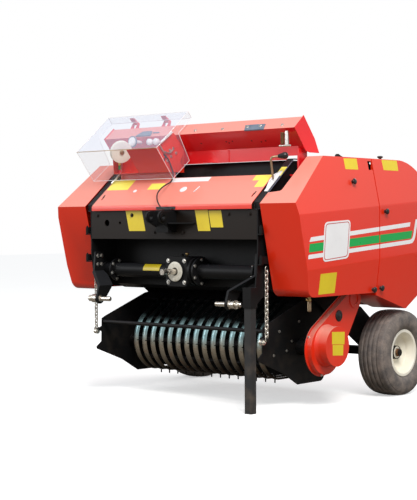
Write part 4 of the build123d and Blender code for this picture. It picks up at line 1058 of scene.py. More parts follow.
@dataclass
class BodyPanels:
    """Hood, side covers, tailgate covers and chain case, with their labels and stripes."""

    edge: float = 0.0010
    bend: float = 0.007
    case_bend: float = 0.003
    slope_run: float = 0.319
    slope_rise: float = 0.262
    hood_front_z: float = 1.141
    channel_run: float = 0.198
    side_x: float = 0.931
    upper_z: float = 1.076
    lower_z: float = 0.773
    crease_rise: float = 0.067
    upper_taper: float = 0.21
    lower_taper: float = 0.13
    split_run: float = 0.783
    gap: float = 0.008
    case_bolt_x: float = 0.779
    case_step_x: float = 0.810
    case_face_x: float = 0.885

    def __post_init__(self) -> None:
        """Work out the panels that labels lie on."""
        self.slope = Vector((0.0, self.slope_run, self.slope_rise)).normalized()
        self.hood = Panel(place(0.0, 0.0, self.hood_front_z), LEFT, self.slope)
        self.side = side_panel(self.side_x)

    def tapered(self, level: float, taper: float) -> Panel:
        """The side cover's panel above or below its middle band, sloping inwards by taper."""
        along = Vector((0.0, 1.0, self.crease_rise)).normalized()
        normal = Vector((1.0, -taper * self.crease_rise, taper)).normalized()
        return Panel(place(self.side_x, 0.0, level), along, normal.cross(along))

    def hood_box(self, x0: float, x1: float, run0: float, run1: float) -> list[Flat]:
        """Corners of a label on the hood, its runs measured level from the front edge."""
        stretch = 1.0 / self.slope.y
        return box_corners(x0, run0 * stretch, x1, run1 * stretch)

    def hood_pieces(self) -> None:
        """Labels, caps and slots on the hood, the slots as dark patches of painted shade."""
        for name, box, finish in (
            ("hood_label_right", (-0.610, -0.432, 0.119, 0.195), Finish.LEMON),
            ("hood_label_small", (-0.268, -0.156, 0.116, 0.160), Finish.LEMON),
            ("hood_plate", (-0.130, 0.168, 0.166, 0.196), Finish.WHITE),
            ("hood_label_left", (0.497, 0.612, 0.160, 0.196), Finish.LEMON),
            ("hood_label_left_low", (0.546, 0.612, 0.114, 0.1585), Finish.LEMON),
        ):
            add_label(name, "chassis", self.hood, self.hood_box(*box), finish, 0.002)
        stretch = 1.0 / self.slope.y
        caps = (("hood_cap_small", -0.358, 0.107, 0.013), ("hood_cap_large", 0.026, 0.110, 0.024))
        for name, x, run, r in caps:
            profile = [(0.0, r), (0.0022, r), (0.0036, r * 0.86), (0.0042, r * 0.5), (0.0044, 0.0)]
            cap = turned(profile, self.hood.at(x, run * stretch, -0.0005), self.hood.out(), 40)
            add_piece(name, "chassis", smooth_by_angle(cap), Finish.WHITE)
        # Each slot is a thin dark patch: painted shade where an opening would be.
        for name, x in (("hood_slot_shade_right", -0.586), ("hood_slot_shade_left", 0.586)):
            box = self.hood_box(x - 0.004, x + 0.004, 0.062, 0.084)
            add_label(name, "chassis", self.hood, box, Finish.DARK)
        bar = [self.hood.at(x, run * stretch, 0.003) for x, run in ((0.127, 0.087), (0.140, 0.127))]
        add_piece("hood_catch", "chassis", smooth_by_angle(tube(bar, 0.003, 10)), Finish.WHITE)

    def stripe(self, name: str, top: tuple[Flat, Flat], bottom: tuple[Flat, Flat], finish: Finish) -> None:
        """Run one stripe across the side cover and on over the tailgate's cover.

        Args:
            name: the pieces' name.
            top: the upper edge's two ends, (run, height).
            bottom: the lower edge's two ends.
            finish: the stripe's film.
        """

        def cut(line: tuple[Flat, Flat], run: float) -> Flat:
            """Point of an edge at a run."""
            (run0, z0), (run1, z1) = line
            return (run, z0 + (z1 - z0) * (run - run0) / (run1 - run0))

        front, back = self.split_run - self.gap / 2, self.split_run + self.gap / 2
        corners = [bottom[0], cut(bottom, front), cut(top, front), top[0]]
        add_label(name + "_front", "cover_left", self.side, corners, finish, 0.003)
        corners = [cut(bottom, back), bottom[1], top[1], cut(top, back)]
        add_label(name + "_back", "tailgate", self.side, corners, finish, 0.0)

    def side_pieces(self) -> None:
        """Stripes, plate and labels on the left side."""
        for name, top, bottom, finish in (
            ("upper", ((0.118, 0.957), (1.112, 1.0355)), ((0.104, 0.932), (1.105, 1.0105)), Finish.WHITE),
            ("green", ((0.106, 0.9215), (1.134, 0.9855)), ((0.099, 0.8755), (1.120, 0.940)), Finish.GREEN),
            ("lower", ((0.096, 0.863), (1.100, 0.931)), ((0.092, 0.840), (1.100, 0.908)), Finish.WHITE),
        ):
            self.stripe("stripe_" + name, top, bottom, finish)
        hook = [(1.1, 0.908), (1.132, 0.9125), (1.152, 0.927), (1.166, 0.952), (1.196, 1.054), (1.170, 1.052)]
        hook += [(1.143, 0.958), (1.133, 0.942), (1.120, 0.934), (1.1, 0.931)]
        add_label("stripe_hook", "tailgate", self.side, hook, Finish.WHITE, 0.0)
        end = [(1.185, 0.944), (1.250, 0.948), (1.264, 0.995), (1.198, 0.990)]
        add_label("stripe_end", "tailgate", self.side, end, Finish.GREEN, 0.002)
        plate = [(0.224, 0.821), (0.470, 0.838), (0.491, 1.051), (0.243, 1.038)]
        add_label("side_plate", "cover_left", self.side, plate, Finish.WHITE, 0.030, 0.0006)
        add_piece("side_plate_line", "cover_left", self.frame_line(plate, 0.010, 0.0045), Finish.LINE)
        upper = self.tapered(self.upper_z, self.upper_taper)
        lower = self.tapered(self.lower_z, -self.lower_taper)
        corners = [(0.526, 0.228), (0.650, 0.220), (0.656, 0.284), (0.528, 0.290)]
        add_label("cover_label_top", "cover_left", upper, corners, Finish.YELLOW)
        corners = [(0.906, 0.207), (1.060, 0.196), (1.066, 0.258), (0.907, 0.268)]
        add_label("gate_label_top", "tailgate", upper, corners, Finish.YELLOW)
        corners = [(0.199, -0.143), (0.352, -0.150), (0.362, -0.035), (0.209, -0.030)]
        add_label("cover_label_low", "cover_left", lower, corners, Finish.YELLOW)

    def frame_line(self, corners: list[Flat], inset: float, width: float) -> Mesh:
        """Thin line that runs round inside a plate's edge.

        Args:
            corners: the plate's corners.
            inset: how far inside them the line runs.
            width: the line's width.

        Returns:
            The mesh.
        """
        centre = sum((Vector(c) for c in corners), Vector((0.0, 0.0))) / len(corners)

        def shrunk(by: float, radius: float) -> list[Flat]:
            """The plate's outline drawn in towards its middle."""
            points = [Vector(c) + (centre - Vector(c)).normalized() * by * 1.4 for c in corners]
            return rounded([tuple(p) for p in points], radius, 6)

        outer, inner = shrunk(inset, 0.024), shrunk(inset + width, 0.021)
        low, high = 0.0011, 0.0013
        mesh = bmesh.new()
        loops = ((outer, low), (outer, high), (inner, high), (inner, low))
        bridge(mesh, [[mesh.verts.new(self.side.at(u, v, w)) for u, v in line] for line, w in loops], True)
        bmesh.ops.recalc_face_normals(mesh, faces=mesh.faces)
        return mesh

    def case_pieces(self) -> None:
        """Labels, plug and bolts of the pickup's chain case."""
        face = side_panel(self.case_face_x)
        for name, corners in (
            ("upper", [(0.374, 0.362), (0.493, 0.354), (0.496, 0.424), (0.374, 0.431)]),
            ("lower", [(0.380, 0.300), (0.480, 0.293), (0.482, 0.352), (0.380, 0.3585)]),
        ):
            add_label("case_label_" + name, "pickup", face, corners, Finish.YELLOW, 0.002)
        profile = [
            (0.0, 0.032), (0.003, 0.032), (0.006, 0.028), (0.0065, 0.016), (0.009, 0.014), (0.010, 0.0),
        ]
        plug = turned(profile, place(self.case_step_x, 0.546, 0.508), LEFT, 36)
        add_piece("case_plug", "pickup", smooth_by_angle(plug), Finish.KNOB)
        spots = (
            (0.584, 0.577), (0.420, 0.477), (0.300, 0.402), (0.750, 0.650), (0.560, 0.262), (0.420, 0.181),
        )
        bolts = [(place(self.case_bolt_x, run, z), LEFT) for run, z in spots]
        add_bolts("case_bolts", "pickup", bolts, 0.006)

    def on_side(self, run: float, z: float, s: float) -> Spot:
        """Place on a cover's outer side, with the direction out of it.

        Args:
            run: distance behind the hood's front edge.
            z: height.
            s: 1 for the left side, -1 for the right.

        Returns:
            The place and the direction.
        """
        upper = self.upper_z + self.crease_rise * run
        lower = self.lower_z + self.crease_rise * run
        x, out = self.side_x, Vector(LEFT)
        if z > upper:
            x, out = x - self.upper_taper * (z - upper), Vector((1.0, -0.014, self.upper_taper))
        elif z < lower:
            x, out = x - self.lower_taper * (lower - z), Vector((1.0, 0.009, -self.lower_taper))
        return place(s * x, run, z), Vector((s * out.x, out.y, out.z)).normalized()

    def knobs(self) -> None:
        """Moulded knobs that turn the covers' catches."""
        profile = [(0.0, 0.010), (0.004, 0.0085), (0.008, 0.0085), (0.0105, 0.0135), (0.0135, 0.0166)]
        profile += [(0.0175, 0.0172), (0.0205, 0.0155), (0.0224, 0.011), (0.0230, 0.0)]
        top_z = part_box("tailgate_cover_left")[1].z
        for side, s in SIDES:
            cover_spots = [self.on_side(0.555, 1.263, s), self.on_side(0.743, 0.652, s)]
            gate_spots = [self.on_side(0.839, 1.098, s), self.on_side(0.821, 0.658, s)]
            gate_spots.append((place(s * 0.820, 0.958, top_z), UP))
            for name, body, node, spots in (
                ("cover", "cover_" + side, "cover_knobs_" + side, cover_spots),
                ("gate", "tailgate", "tailgate_knobs", gate_spots),
            ):
                mesh = bmesh.new()
                for at, out in spots:
                    turned(profile, at, out, 28, mesh)
                name += f"_knobs_{side}_shape"
                add_piece(name, body, outward(mesh, 50.0), Finish.KNOB, node)

    def channel_label(self) -> None:
        """Yellow strip on the left channel beside the hood."""
        rise = self.channel_run * self.slope_rise / self.slope_run
        panel = Panel(place(0.0, self.channel_run, self.hood_front_z - 0.008 + rise), LEFT, self.slope)
        corners = box_corners(0.628, 0.0, 0.667, 0.080)
        add_label("channel_label", "chassis", panel, corners, Finish.LEMON, 0.002)

    def build(self) -> None:
        """Build all panels."""
        orange = (Finish.ORANGE, Slot.ORANGE)
        covers = {
            "chassis": ("hood",),
            "cover_left": ("side_cover_left",),
            "cover_right": ("side_cover_right",),
            "tailgate": ("tailgate_cover_left", "tailgate_cover_right"),
        }
        refine_nodes(covers, *orange, self.edge, self.bend)
        sheets = {"tailgate": ("tailgate_shell",), "pickup": ("chain_case",)}
        refine_nodes(sheets, *orange, self.edge, self.case_bend)
        self.hood_pieces()
        self.side_pieces()
        self.case_pieces()
        self.channel_label()
        self.knobs()


@dataclass
class Chassis:
    """Side frames, beam, drive line, hitch and parking leg."""

    edge: float = 0.0012
    hinge_edge: float = 0.0006
    gate_edge: float = 0.001
    leg_edge: float = 0.004
    plate_x: float = 0.646
    tube_run: float = 0.150
    tube_z: float = 0.757
    tube_r: float = 0.042
    box_bolt_r: float = 0.068
    flange_x: float = 0.545
    flange_bolt_r: float = 0.055
    pin_r: float = 0.014
    pin_run: float = -0.055
    pin_z: float = 0.591
    pin_reach: float = 0.085
    pin_length: float = 0.182
    arm_x: float = 0.494
    arm_thick: float = 0.014
    arm_bolt_x: float = 0.6165

    def frames(self) -> None:
        """Plates, beam and tubes in black, the channels beside the hood in grey."""
        black = (Finish.BLACK, Slot.BLACK)
        refine_nodes({"chassis": ("front_beam",)}, Finish.UMBER, Slot.BLACK, self.edge)
        names = ("front_sheet", "gearbox", "cross_tube", "hitch_arm_left", "hitch_arm_right")
        names += ("toplink_bracket", "axle", "side_frame_left", "side_frame_right")
        refine_nodes({"chassis": names}, *black, self.edge)
        refine_nodes({"stand": ("stand_leg",)}, Finish.CHARCOAL, Slot.BLACK, self.leg_edge)
        hinges = {"cover_left": ("cover_hinge_left",), "cover_right": ("cover_hinge_right",)}
        refine_nodes(hinges, *black, self.hinge_edge)
        refine_nodes({"tailgate": ("tailgate_side_left", "tailgate_side_right")}, *black, self.gate_edge)
        for side, _ in SIDES:
            self.paint_channel(bpy.data.objects[f"side_frame_{side}_shape"])
        dress({"front_rollers": Finish.BLACK, "tailgate_rollers": Finish.BLACK, "lid_hinges": Finish.RED})

    def paint_channel(self, piece: Piece) -> None:
        """Paint the faces of a side frame's channel, which lie outside the plate up the slope, grey."""
        piece.data.materials.append(Finish.GREY.material)
        for face in piece.data.polygons:
            x, y, z = face.center
            outside = abs(abs(x) - self.plate_x) > 0.0085 or z > 1.36
            if outside and z > 1.09 and y < FRONT + 0.42:
                face.material_index = 1

    def drive(self) -> None:
        """Splined input shaft, its guard, and the gearbox's screws and breather."""
        shaft = refined("input_shaft", 0.0005)
        piece = add_piece("input_shaft_shape", "input_shaft", shaft, Finish.STEEL, "input_shaft")
        weigh_normals(piece)
        guard_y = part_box("guard_disc")[1].y
        ring = [
            (0.0, 0.0236), (0.0, 0.056), (0.0012, 0.0572), (0.0034, 0.0572), (0.005, 0.0545), (0.005, 0.040),
        ]
        ring += [(0.0042, 0.034), (0.005, 0.030), (0.005, 0.0236)]
        guard = outward(turned(ring, (0.0, guard_y, self.tube_z), AHEAD, 48, closed=True), 50.0)
        add_piece("guard_disc_shape", "chassis", guard, Finish.GUARD, "guard_disc")
        screws = [((x, guard_y + 0.010, z), AHEAD) for x in (-0.062, 0.062) for z in (0.695, 0.819)]
        add_bolts("gearbox_screws", "chassis", screws, 0.009)
        box_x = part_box("gearbox")[1].x + 0.0015
        spots = ring_spots(box_x, self.tube_run, self.tube_z, self.box_bolt_r, 30.0, LEFT)
        for _, s in SIDES:
            x = s * (self.flange_x - 0.0015)
            spots += ring_spots(x, self.tube_run, self.tube_z, self.flange_bolt_r, 20.0, (-s, 0.0, 0.0))
        add_bolts("flange_screws", "chassis", spots, 0.008)
        profile = [(0.0, 0.006), (0.010, 0.006), (0.011, 0.011), (0.020, 0.011), (0.022, 0.008), (0.023, 0.0)]
        breather = turned(profile, place(0.045, 0.120, self.tube_z + 0.0855), UP, 20)
        add_piece("gearbox_breather", "chassis", smooth_by_angle(breather), Finish.BRASS)

    def pin_profile(self) -> list[Flat]:
        """Section of a lower pin: distance from its free end and radius."""
        r, inner, outer = self.pin_r, self.pin_reach, self.pin_reach + self.arm_thick
        free_end = [(0.0, 0.0), (0.0, r - 0.004), (0.004, r)]
        collar = [(-0.0083, r), (-0.0083, 0.0185), (-0.0073, 0.020), (-0.0003, 0.020), (-0.0003, r)]
        washer = [(0.0003, r), (0.0003, 0.0255), (0.0043, 0.026), (0.0060, 0.0215), (0.0363, 0.0215)]
        nut_face = [(0.0380, 0.0245), (0.0443, 0.0245), (0.0443, r - 0.001)]
        thread = [(self.pin_length - 0.0035, r - 0.001), (self.pin_length, r - 0.004), (self.pin_length, 0.0)]
        profile = free_end + [(inner + d, radius) for d, radius in collar]
        return profile + [(outer + d, radius) for d, radius in washer + nut_face] + thread

    def pins(self) -> None:
        """Turned lower pins with their collars, washers and nuts."""
        for side, s in SIDES:
            start = place(s * (self.arm_x - self.pin_reach), self.pin_run, self.pin_z)
            mesh = turned(self.pin_profile(), start, (s, 0.0, 0.0), 40)
            nut = side_panel(s * (self.arm_x + self.arm_thick + 0.052), s, self.pin_run, self.pin_z)
            slab(nut, hexagon(0.021), 0.0, 0.018, mesh)
            name = "lower_pin_" + side
            add_piece(name + "_shape", "chassis", outward(mesh, 40.0), Finish.STEEL, name)

    def hitch_bolts(self) -> None:
        """Bolts through the hitch arms and along the beam."""
        square = ((0.048, 0.842), (0.080, 0.842), (0.048, 0.790), (0.080, 0.790))
        spots = [(place(s * self.arm_bolt_x, run, z), (-s, 0.0, 0.0)) for _, s in SIDES for run, z in square]
        add_bolts("arm_bolts", "chassis", spots, 0.009)
        row = (
            (-0.300, 1.085), (-0.120, 0.985), (0.105, 0.985), (0.440, 1.085), (-0.590, 1.085), (0.590, 1.085),
        )
        spots = [(place(x, 0.0185, z), AHEAD) for x, z in row]
        add_bolts("beam_bolts", "chassis", spots, 0.008, Finish.UMBER)

    def labels(self) -> None:
        """Bare labels on the beam and the drive tube."""
        beam = Panel((0.0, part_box("front_beam")[0].y, 0.0))
        for name, corners in (
            ("right", [(-0.324, 0.992), (-0.192, 0.992), (-0.221, 1.113), (-0.353, 1.113)]),
            ("left", [(0.217, 0.992), (0.308, 0.992), (0.288, 1.111), (0.192, 1.111)]),
            ("left_small", [(0.3125, 1.012), (0.402, 1.012), (0.386, 1.106), (0.294, 1.106)]),
        ):
            add_label("beam_label_" + name, "chassis", beam, corners, Finish.YELLOW, 0.002)
        self.tube_label(-0.298, -0.165, 118.0, 62.0)

    def tube_label(self, x0: float, x1: float, start: float, sweep: float) -> None:
        """Bare label bent round the drive tube.

        Args:
            x0: its right edge.
            x1: its left edge.
            start: the angle, in degrees, at which it begins.
            sweep: the angle that it goes round.
        """
        steps = 8
        mesh = bmesh.new()
        rows = []
        for k in range(steps + 1):
            turn = math.radians(start + sweep * k / steps)
            for radius in (self.tube_r + 0.0002, self.tube_r + 0.0006):
                run, z = self.tube_run + radius * math.cos(turn), self.tube_z + radius * math.sin(turn)
                rows.append([mesh.verts.new(place(x, run, z)) for x in (x0, x1)])
        for k in range(steps):
            low0, high0, low1, high1 = rows[2 * k : 2 * k + 4]
            mesh.faces.new((high0[0], high0[1], high1[1], high1[0]))
            mesh.faces.new((low0[1], low0[0], low1[0], low1[1]))
            for side in (0, 1):
                mesh.faces.new((low0[side], high0[side], high1[side], low1[side]))
        for low, high in ((rows[0], rows[1]), (rows[-2], rows[-1])):
            mesh.faces.new((low[0], low[1], high[1], high[0]))
        add_piece("tube_label", "chassis", outward(mesh, 60.0), Finish.YELLOW)

    def build(self) -> None:
        """Build the chassis."""
        self.frames()
        self.drive()
        self.pins()
        self.hitch_bolts()
        self.labels()


@dataclass
class Pickup:
    """Shields, stripper bands, reel and lift chains."""

    edge: float = 0.001
    reel_run: float = 0.425
    reel_z: float = 0.328
    band_r: float = 0.195
    band_count: int = 15
    band_pitch: float = 0.0686
    band_width: float = 0.036
    band_sheet: float = 0.003
    band_steps: int = 40
    crown: float = 0.006
    rise: float = math.radians(30)
    end_run: float = 0.480
    low_run: float = 0.640
    chain_x: float = 0.661
    chain_run: float = 0.075
    chain_pin_z: float = 0.790
    top_link_z: float = 0.782
    slack: float = 0.777
    links: int = 19
    link_pitch: float = 0.021
    link_length: float = 0.036
    link_width: float = 0.0250
    link_bow: float = 0.0090
    wire: float = 0.0066

    def band_line(self) -> list[tuple[float, float, float, float]]:
        """Middle line of a band's outer face: run, height and the direction out of it."""
        line = [(self.low_run, self.reel_z - self.band_r, 0.0, -1.0)]
        first, last = math.pi * 1.5, math.pi / 2 + self.rise
        for k in range(self.band_steps + 1):
            turn = first + (last - first) * k / self.band_steps
            y, z = math.cos(turn), math.sin(turn)
            line.append((self.reel_run + self.band_r * y, self.reel_z + self.band_r * z, y, z))
        tangent = (self.end_run - self.reel_run) * math.tan(self.rise)
        top = self.reel_z + self.band_r / math.cos(self.rise) + tangent
        return [*line, (self.end_run, top, math.cos(last), math.sin(last))]

    def band_mesh(self) -> bpy.types.Mesh:
        """One band with a crowned face."""
        mesh = bmesh.new()
        half = self.band_width / 2
        across = [-1.0, -0.86, -0.5, 0.0, 0.5, 0.86, 1.0]
        section = [(t, self.crown * t * t) for t in across]
        section += [(t, self.band_sheet + self.crown * t * t) for t in across[::-1]]
        rings = []
        for run, z, ny, nz in self.band_line():
            points = [place(half * t, run - ny * depth, z - nz * depth) for t, depth in section]
            rings.append([mesh.verts.new(point) for point in points])
        bridge(mesh, rings)
        mesh.faces.new(rings[0])
        mesh.faces.new(rings[-1])
        band = bpy.data.meshes.new("band")
        outward(mesh, 50.0).to_mesh(band)
        mesh.free()
        return band

    def bands(self) -> None:
        """Stripper bands, repeated across the pickup."""
        pattern = Pattern("stripper_bands")
        count = pattern.size("Count", self.band_count)
        pitch = pattern.size("Pitch", self.band_pitch)
        start = pattern.vector(X=(count - 1.0) * pitch * -0.5)
        inputs = {"Count": count, "Start Location": start, "Offset": pattern.vector(X=pitch)}
        line = pattern.node("GeometryNodeMeshLine", {"mode": "OFFSET"}, inputs)
        bands = pattern.run(self.band_mesh(), pattern.spread(line, pattern.base()), Finish.BAND)
        add_piece("pickup_bands_shape", "pickup", bands, Finish.BAND, "pickup_bands")

    def chains(self) -> None:
        """Lift chains of welded oval links, every other one turned across."""
        for side, s in SIDES:
            spots = []
            for k in range(self.links):
                at = place(s * self.chain_x, self.chain_run, self.top_link_z - k * self.link_pitch)
                spots.append((at, (math.pi / 2, 0.0, 0.0 if k % 2 else math.pi / 2)))
            pattern = Pattern("chain_links")
            length = pattern.size("Link length", self.link_length)
            width = pattern.size("Link width", self.link_width)
            wire = pattern.size("Wire", self.wire)
            sides = {"Width": width - wire, "Height": length - wire}
            oblong = pattern.node("GeometryNodeCurvePrimitiveQuadrilateral", inputs=sides)
            fillet = {"Curve": oblong, "Radius": self.link_bow, "Count": 6}
            bow = pattern.node("GeometryNodeFilletCurve", {"mode": "POLY"}, fillet)
            section = {"Resolution": 8, "Radius": wire * 0.5}
            bead = pattern.node("GeometryNodeCurvePrimitiveCircle", inputs=section)
            link = pattern.node("GeometryNodeCurveToMesh", inputs={"Curve": bow, "Profile Curve": bead})
            smooth = pattern.node("GeometryNodeSetShadeSmooth", inputs={"Geometry": link})
            turn = pattern.node("FunctionNodeEulerToRotation", inputs={"Euler": pattern.attribute("turn")})
            hung = pattern.spread(pattern.base(), smooth, Rotation=turn)
            mesh = pattern.run(points_mesh(spots, "turn"), hung, Finish.CHAIN)
            name = f"chain_{side}_links"
            piece = add_piece(name, "chassis", mesh, Finish.CHAIN, "lift_chain_" + side)
            anchor = place(s * self.chain_x, self.chain_run, self.chain_pin_z)
            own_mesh(piece)

    def shields(self) -> None:
        """Shields, frame and the case's carrier in black, with their bolts."""
        names = ("pickup_shield_left", "pickup_shield_right", "pickup_frame", "case_mount")
        refine_nodes({"pickup": names}, Finish.BLACK, Slot.BLACK, self.edge)
        dress({"pickup_reel": Finish.BLACK})
        heads = ((0.346, 0.369), (0.414, 0.475), (0.298, 0.318), (0.230, 0.430), (0.180, 0.300))
        spots = [(place(s * 0.6295, run, z), (s, 0.0, 0.0)) for _, s in SIDES for run, z in heads]
        add_bolts("shield_bolts", "pickup", spots, 0.006)
        stud = [
            (0.0, 0.008), (0.002, 0.008), (0.002, 0.0165), (0.006, 0.0165), (0.006, 0.013), (0.016, 0.013),
        ]
        stud += [(0.016, 0.0155), (0.026, 0.0145), (0.027, 0.007), (0.036, 0.0065), (0.037, 0.0)]
        for side, s in SIDES:
            mesh = outward(turned(stud, place(s * 0.629, 0.058, 0.382), (s, 0.0, 0.0), 24), 40.0)
            add_piece(f"chain_{side}_stud", "pickup", mesh, Finish.CHAIN)

    def build(self) -> None:
        """Build the pickup."""
        self.shields()
        self.bands()
        self.chains()


@dataclass
class Wheels:
    """Ribbed tyres on dished rims."""

    x: float = 0.779
    run: float = 1.153
    z: float = 0.2536
    tyre_r: float = 0.2586
    tread_half: float = 0.074
    tread_steps: int = 16
    groove: float = 0.0050
    grooves: tuple[float, ...] = (-0.047, -0.016, 0.016, 0.047)
    valve_r: float = 0.105
    valve_turn: float = math.radians(200)

    def crown(self, x: float) -> float:
        """Radius of the tread at a distance from its middle."""
        return self.tyre_r - 0.0082 * (x / 0.078) ** 2

    def tyre_profile(self) -> list[Flat]:
        """Section of the tyre: distance from its middle and radius, round a closed loop."""
        wall = [(-0.074, 0.1278), (-0.076, 0.1435), (-0.086, 0.1500), (-0.0935, 0.1600), (-0.0985, 0.1730)]
        wall += [
            (-0.1000, 0.1860), (-0.0998, 0.2000), (-0.0980, 0.2140), (-0.0945, 0.2260), (-0.0900, 0.2350),
        ]
        wall += [(-0.0870, 0.2360), (-0.0850, 0.2420), (-0.0800, 0.2485)]
        half, steps = self.tread_half, self.tread_steps
        runs = [-half + 2 * half * k / steps for k in range(steps + 1)]
        clear = self.groove + 0.0025
        tread = [(x, self.crown(x)) for x in runs if all(abs(x - g) > clear for g in self.grooves)]
        for g in self.grooves:
            for reach, depth in ((-0.0018, 0.0005), (0.0, 0.002), (0.0018, 0.0085)):
                side, radius = self.groove - reach, self.crown(g) - depth
                tread += [(g - side, radius), (g + side, radius)]
        return wall + sorted(tread) + [(-x, radius) for x, radius in wall[::-1]]

    def rim_profile(self) -> list[Flat]:
        """Section of the rim, round a closed loop."""
        points = [
            (-0.080, 0.141), (-0.076, 0.141), (-0.075, 0.127), (0.075, 0.127), (0.076, 0.141), (0.080, 0.141),
        ]
        points += [
            (0.080, 0.123), (0.018, 0.117), (0.004, 0.060), (0.008, 0.038), (0.032, 0.036), (0.032, 0.0201),
        ]
        points += [
            (-0.101, 0.0201), (-0.101, 0.038), (0.0, 0.038), (-0.004, 0.060), (0.004, 0.117), (-0.080, 0.123),
        ]
        return rounded(points, 0.0028, 3)

    def wheel(self, side: str, s: float) -> None:
        """One wheel with its valve, and the spindle's washer and nut."""
        body, axis, centre = "wheel_" + side, (s, 0.0, 0.0), place(s * self.x, self.run, self.z)
        tyre = outward(turned(self.tyre_profile(), centre, axis, 96, closed=True), 40.0)
        add_piece(f"tyre_{side}_shape", body, tyre, Finish.TYRE, "tyre_" + side)
        rim = outward(turned(self.rim_profile(), centre, axis, 72, closed=True), 40.0)
        add_piece(f"rim_{side}_shape", body, rim, Finish.CREAM, "rim_" + side)
        profile = [(0.0, 0.0385), (0.0, 0.0415), (0.0235, 0.0400), (0.0235, 0.0370)]
        seal = turned(profile, place(s * (self.x + 0.009), self.run, self.z), axis, 40, closed=True)
        add_piece(body + "_seal", body, outward(seal), Finish.HOSE)
        profile = [(0.0, 0.0205), (0.0, 0.029), (0.004, 0.029), (0.004, 0.0205)]
        washer = turned(profile, place(s * (self.x + 0.0325), self.run, self.z), axis, 32, closed=True)
        add_piece(body + "_washer", "chassis", outward(washer), Finish.ZINC)
        nut = slab(side_panel(s * (self.x + 0.037), s, self.run, self.z), hexagon(0.025), 0.0, 0.012)
        add_piece(body + "_nut", "chassis", outward(nut, 40.0), Finish.RUST)
        run = self.run + self.valve_r * math.cos(self.valve_turn)
        at = place(s * (self.x + 0.015), run, self.z + self.valve_r * math.sin(self.valve_turn))
        stem = turned([(0.0, 0.0045), (0.020, 0.004), (0.0205, 0.0)], at, axis, 16)
        add_piece(f"valve_{side}_stem", body, outward(stem), Finish.HOSE)
        cap = turned([(0.020, 0.0048), (0.031, 0.0048), (0.033, 0.003), (0.0332, 0.0)], at, axis, 16)
        add_piece(f"valve_{side}_cap", body, outward(cap), Finish.BLUE)

    def build(self) -> None:
        """Build the wheels."""
        for side, s in SIDES:
            self.wheel(side, s)


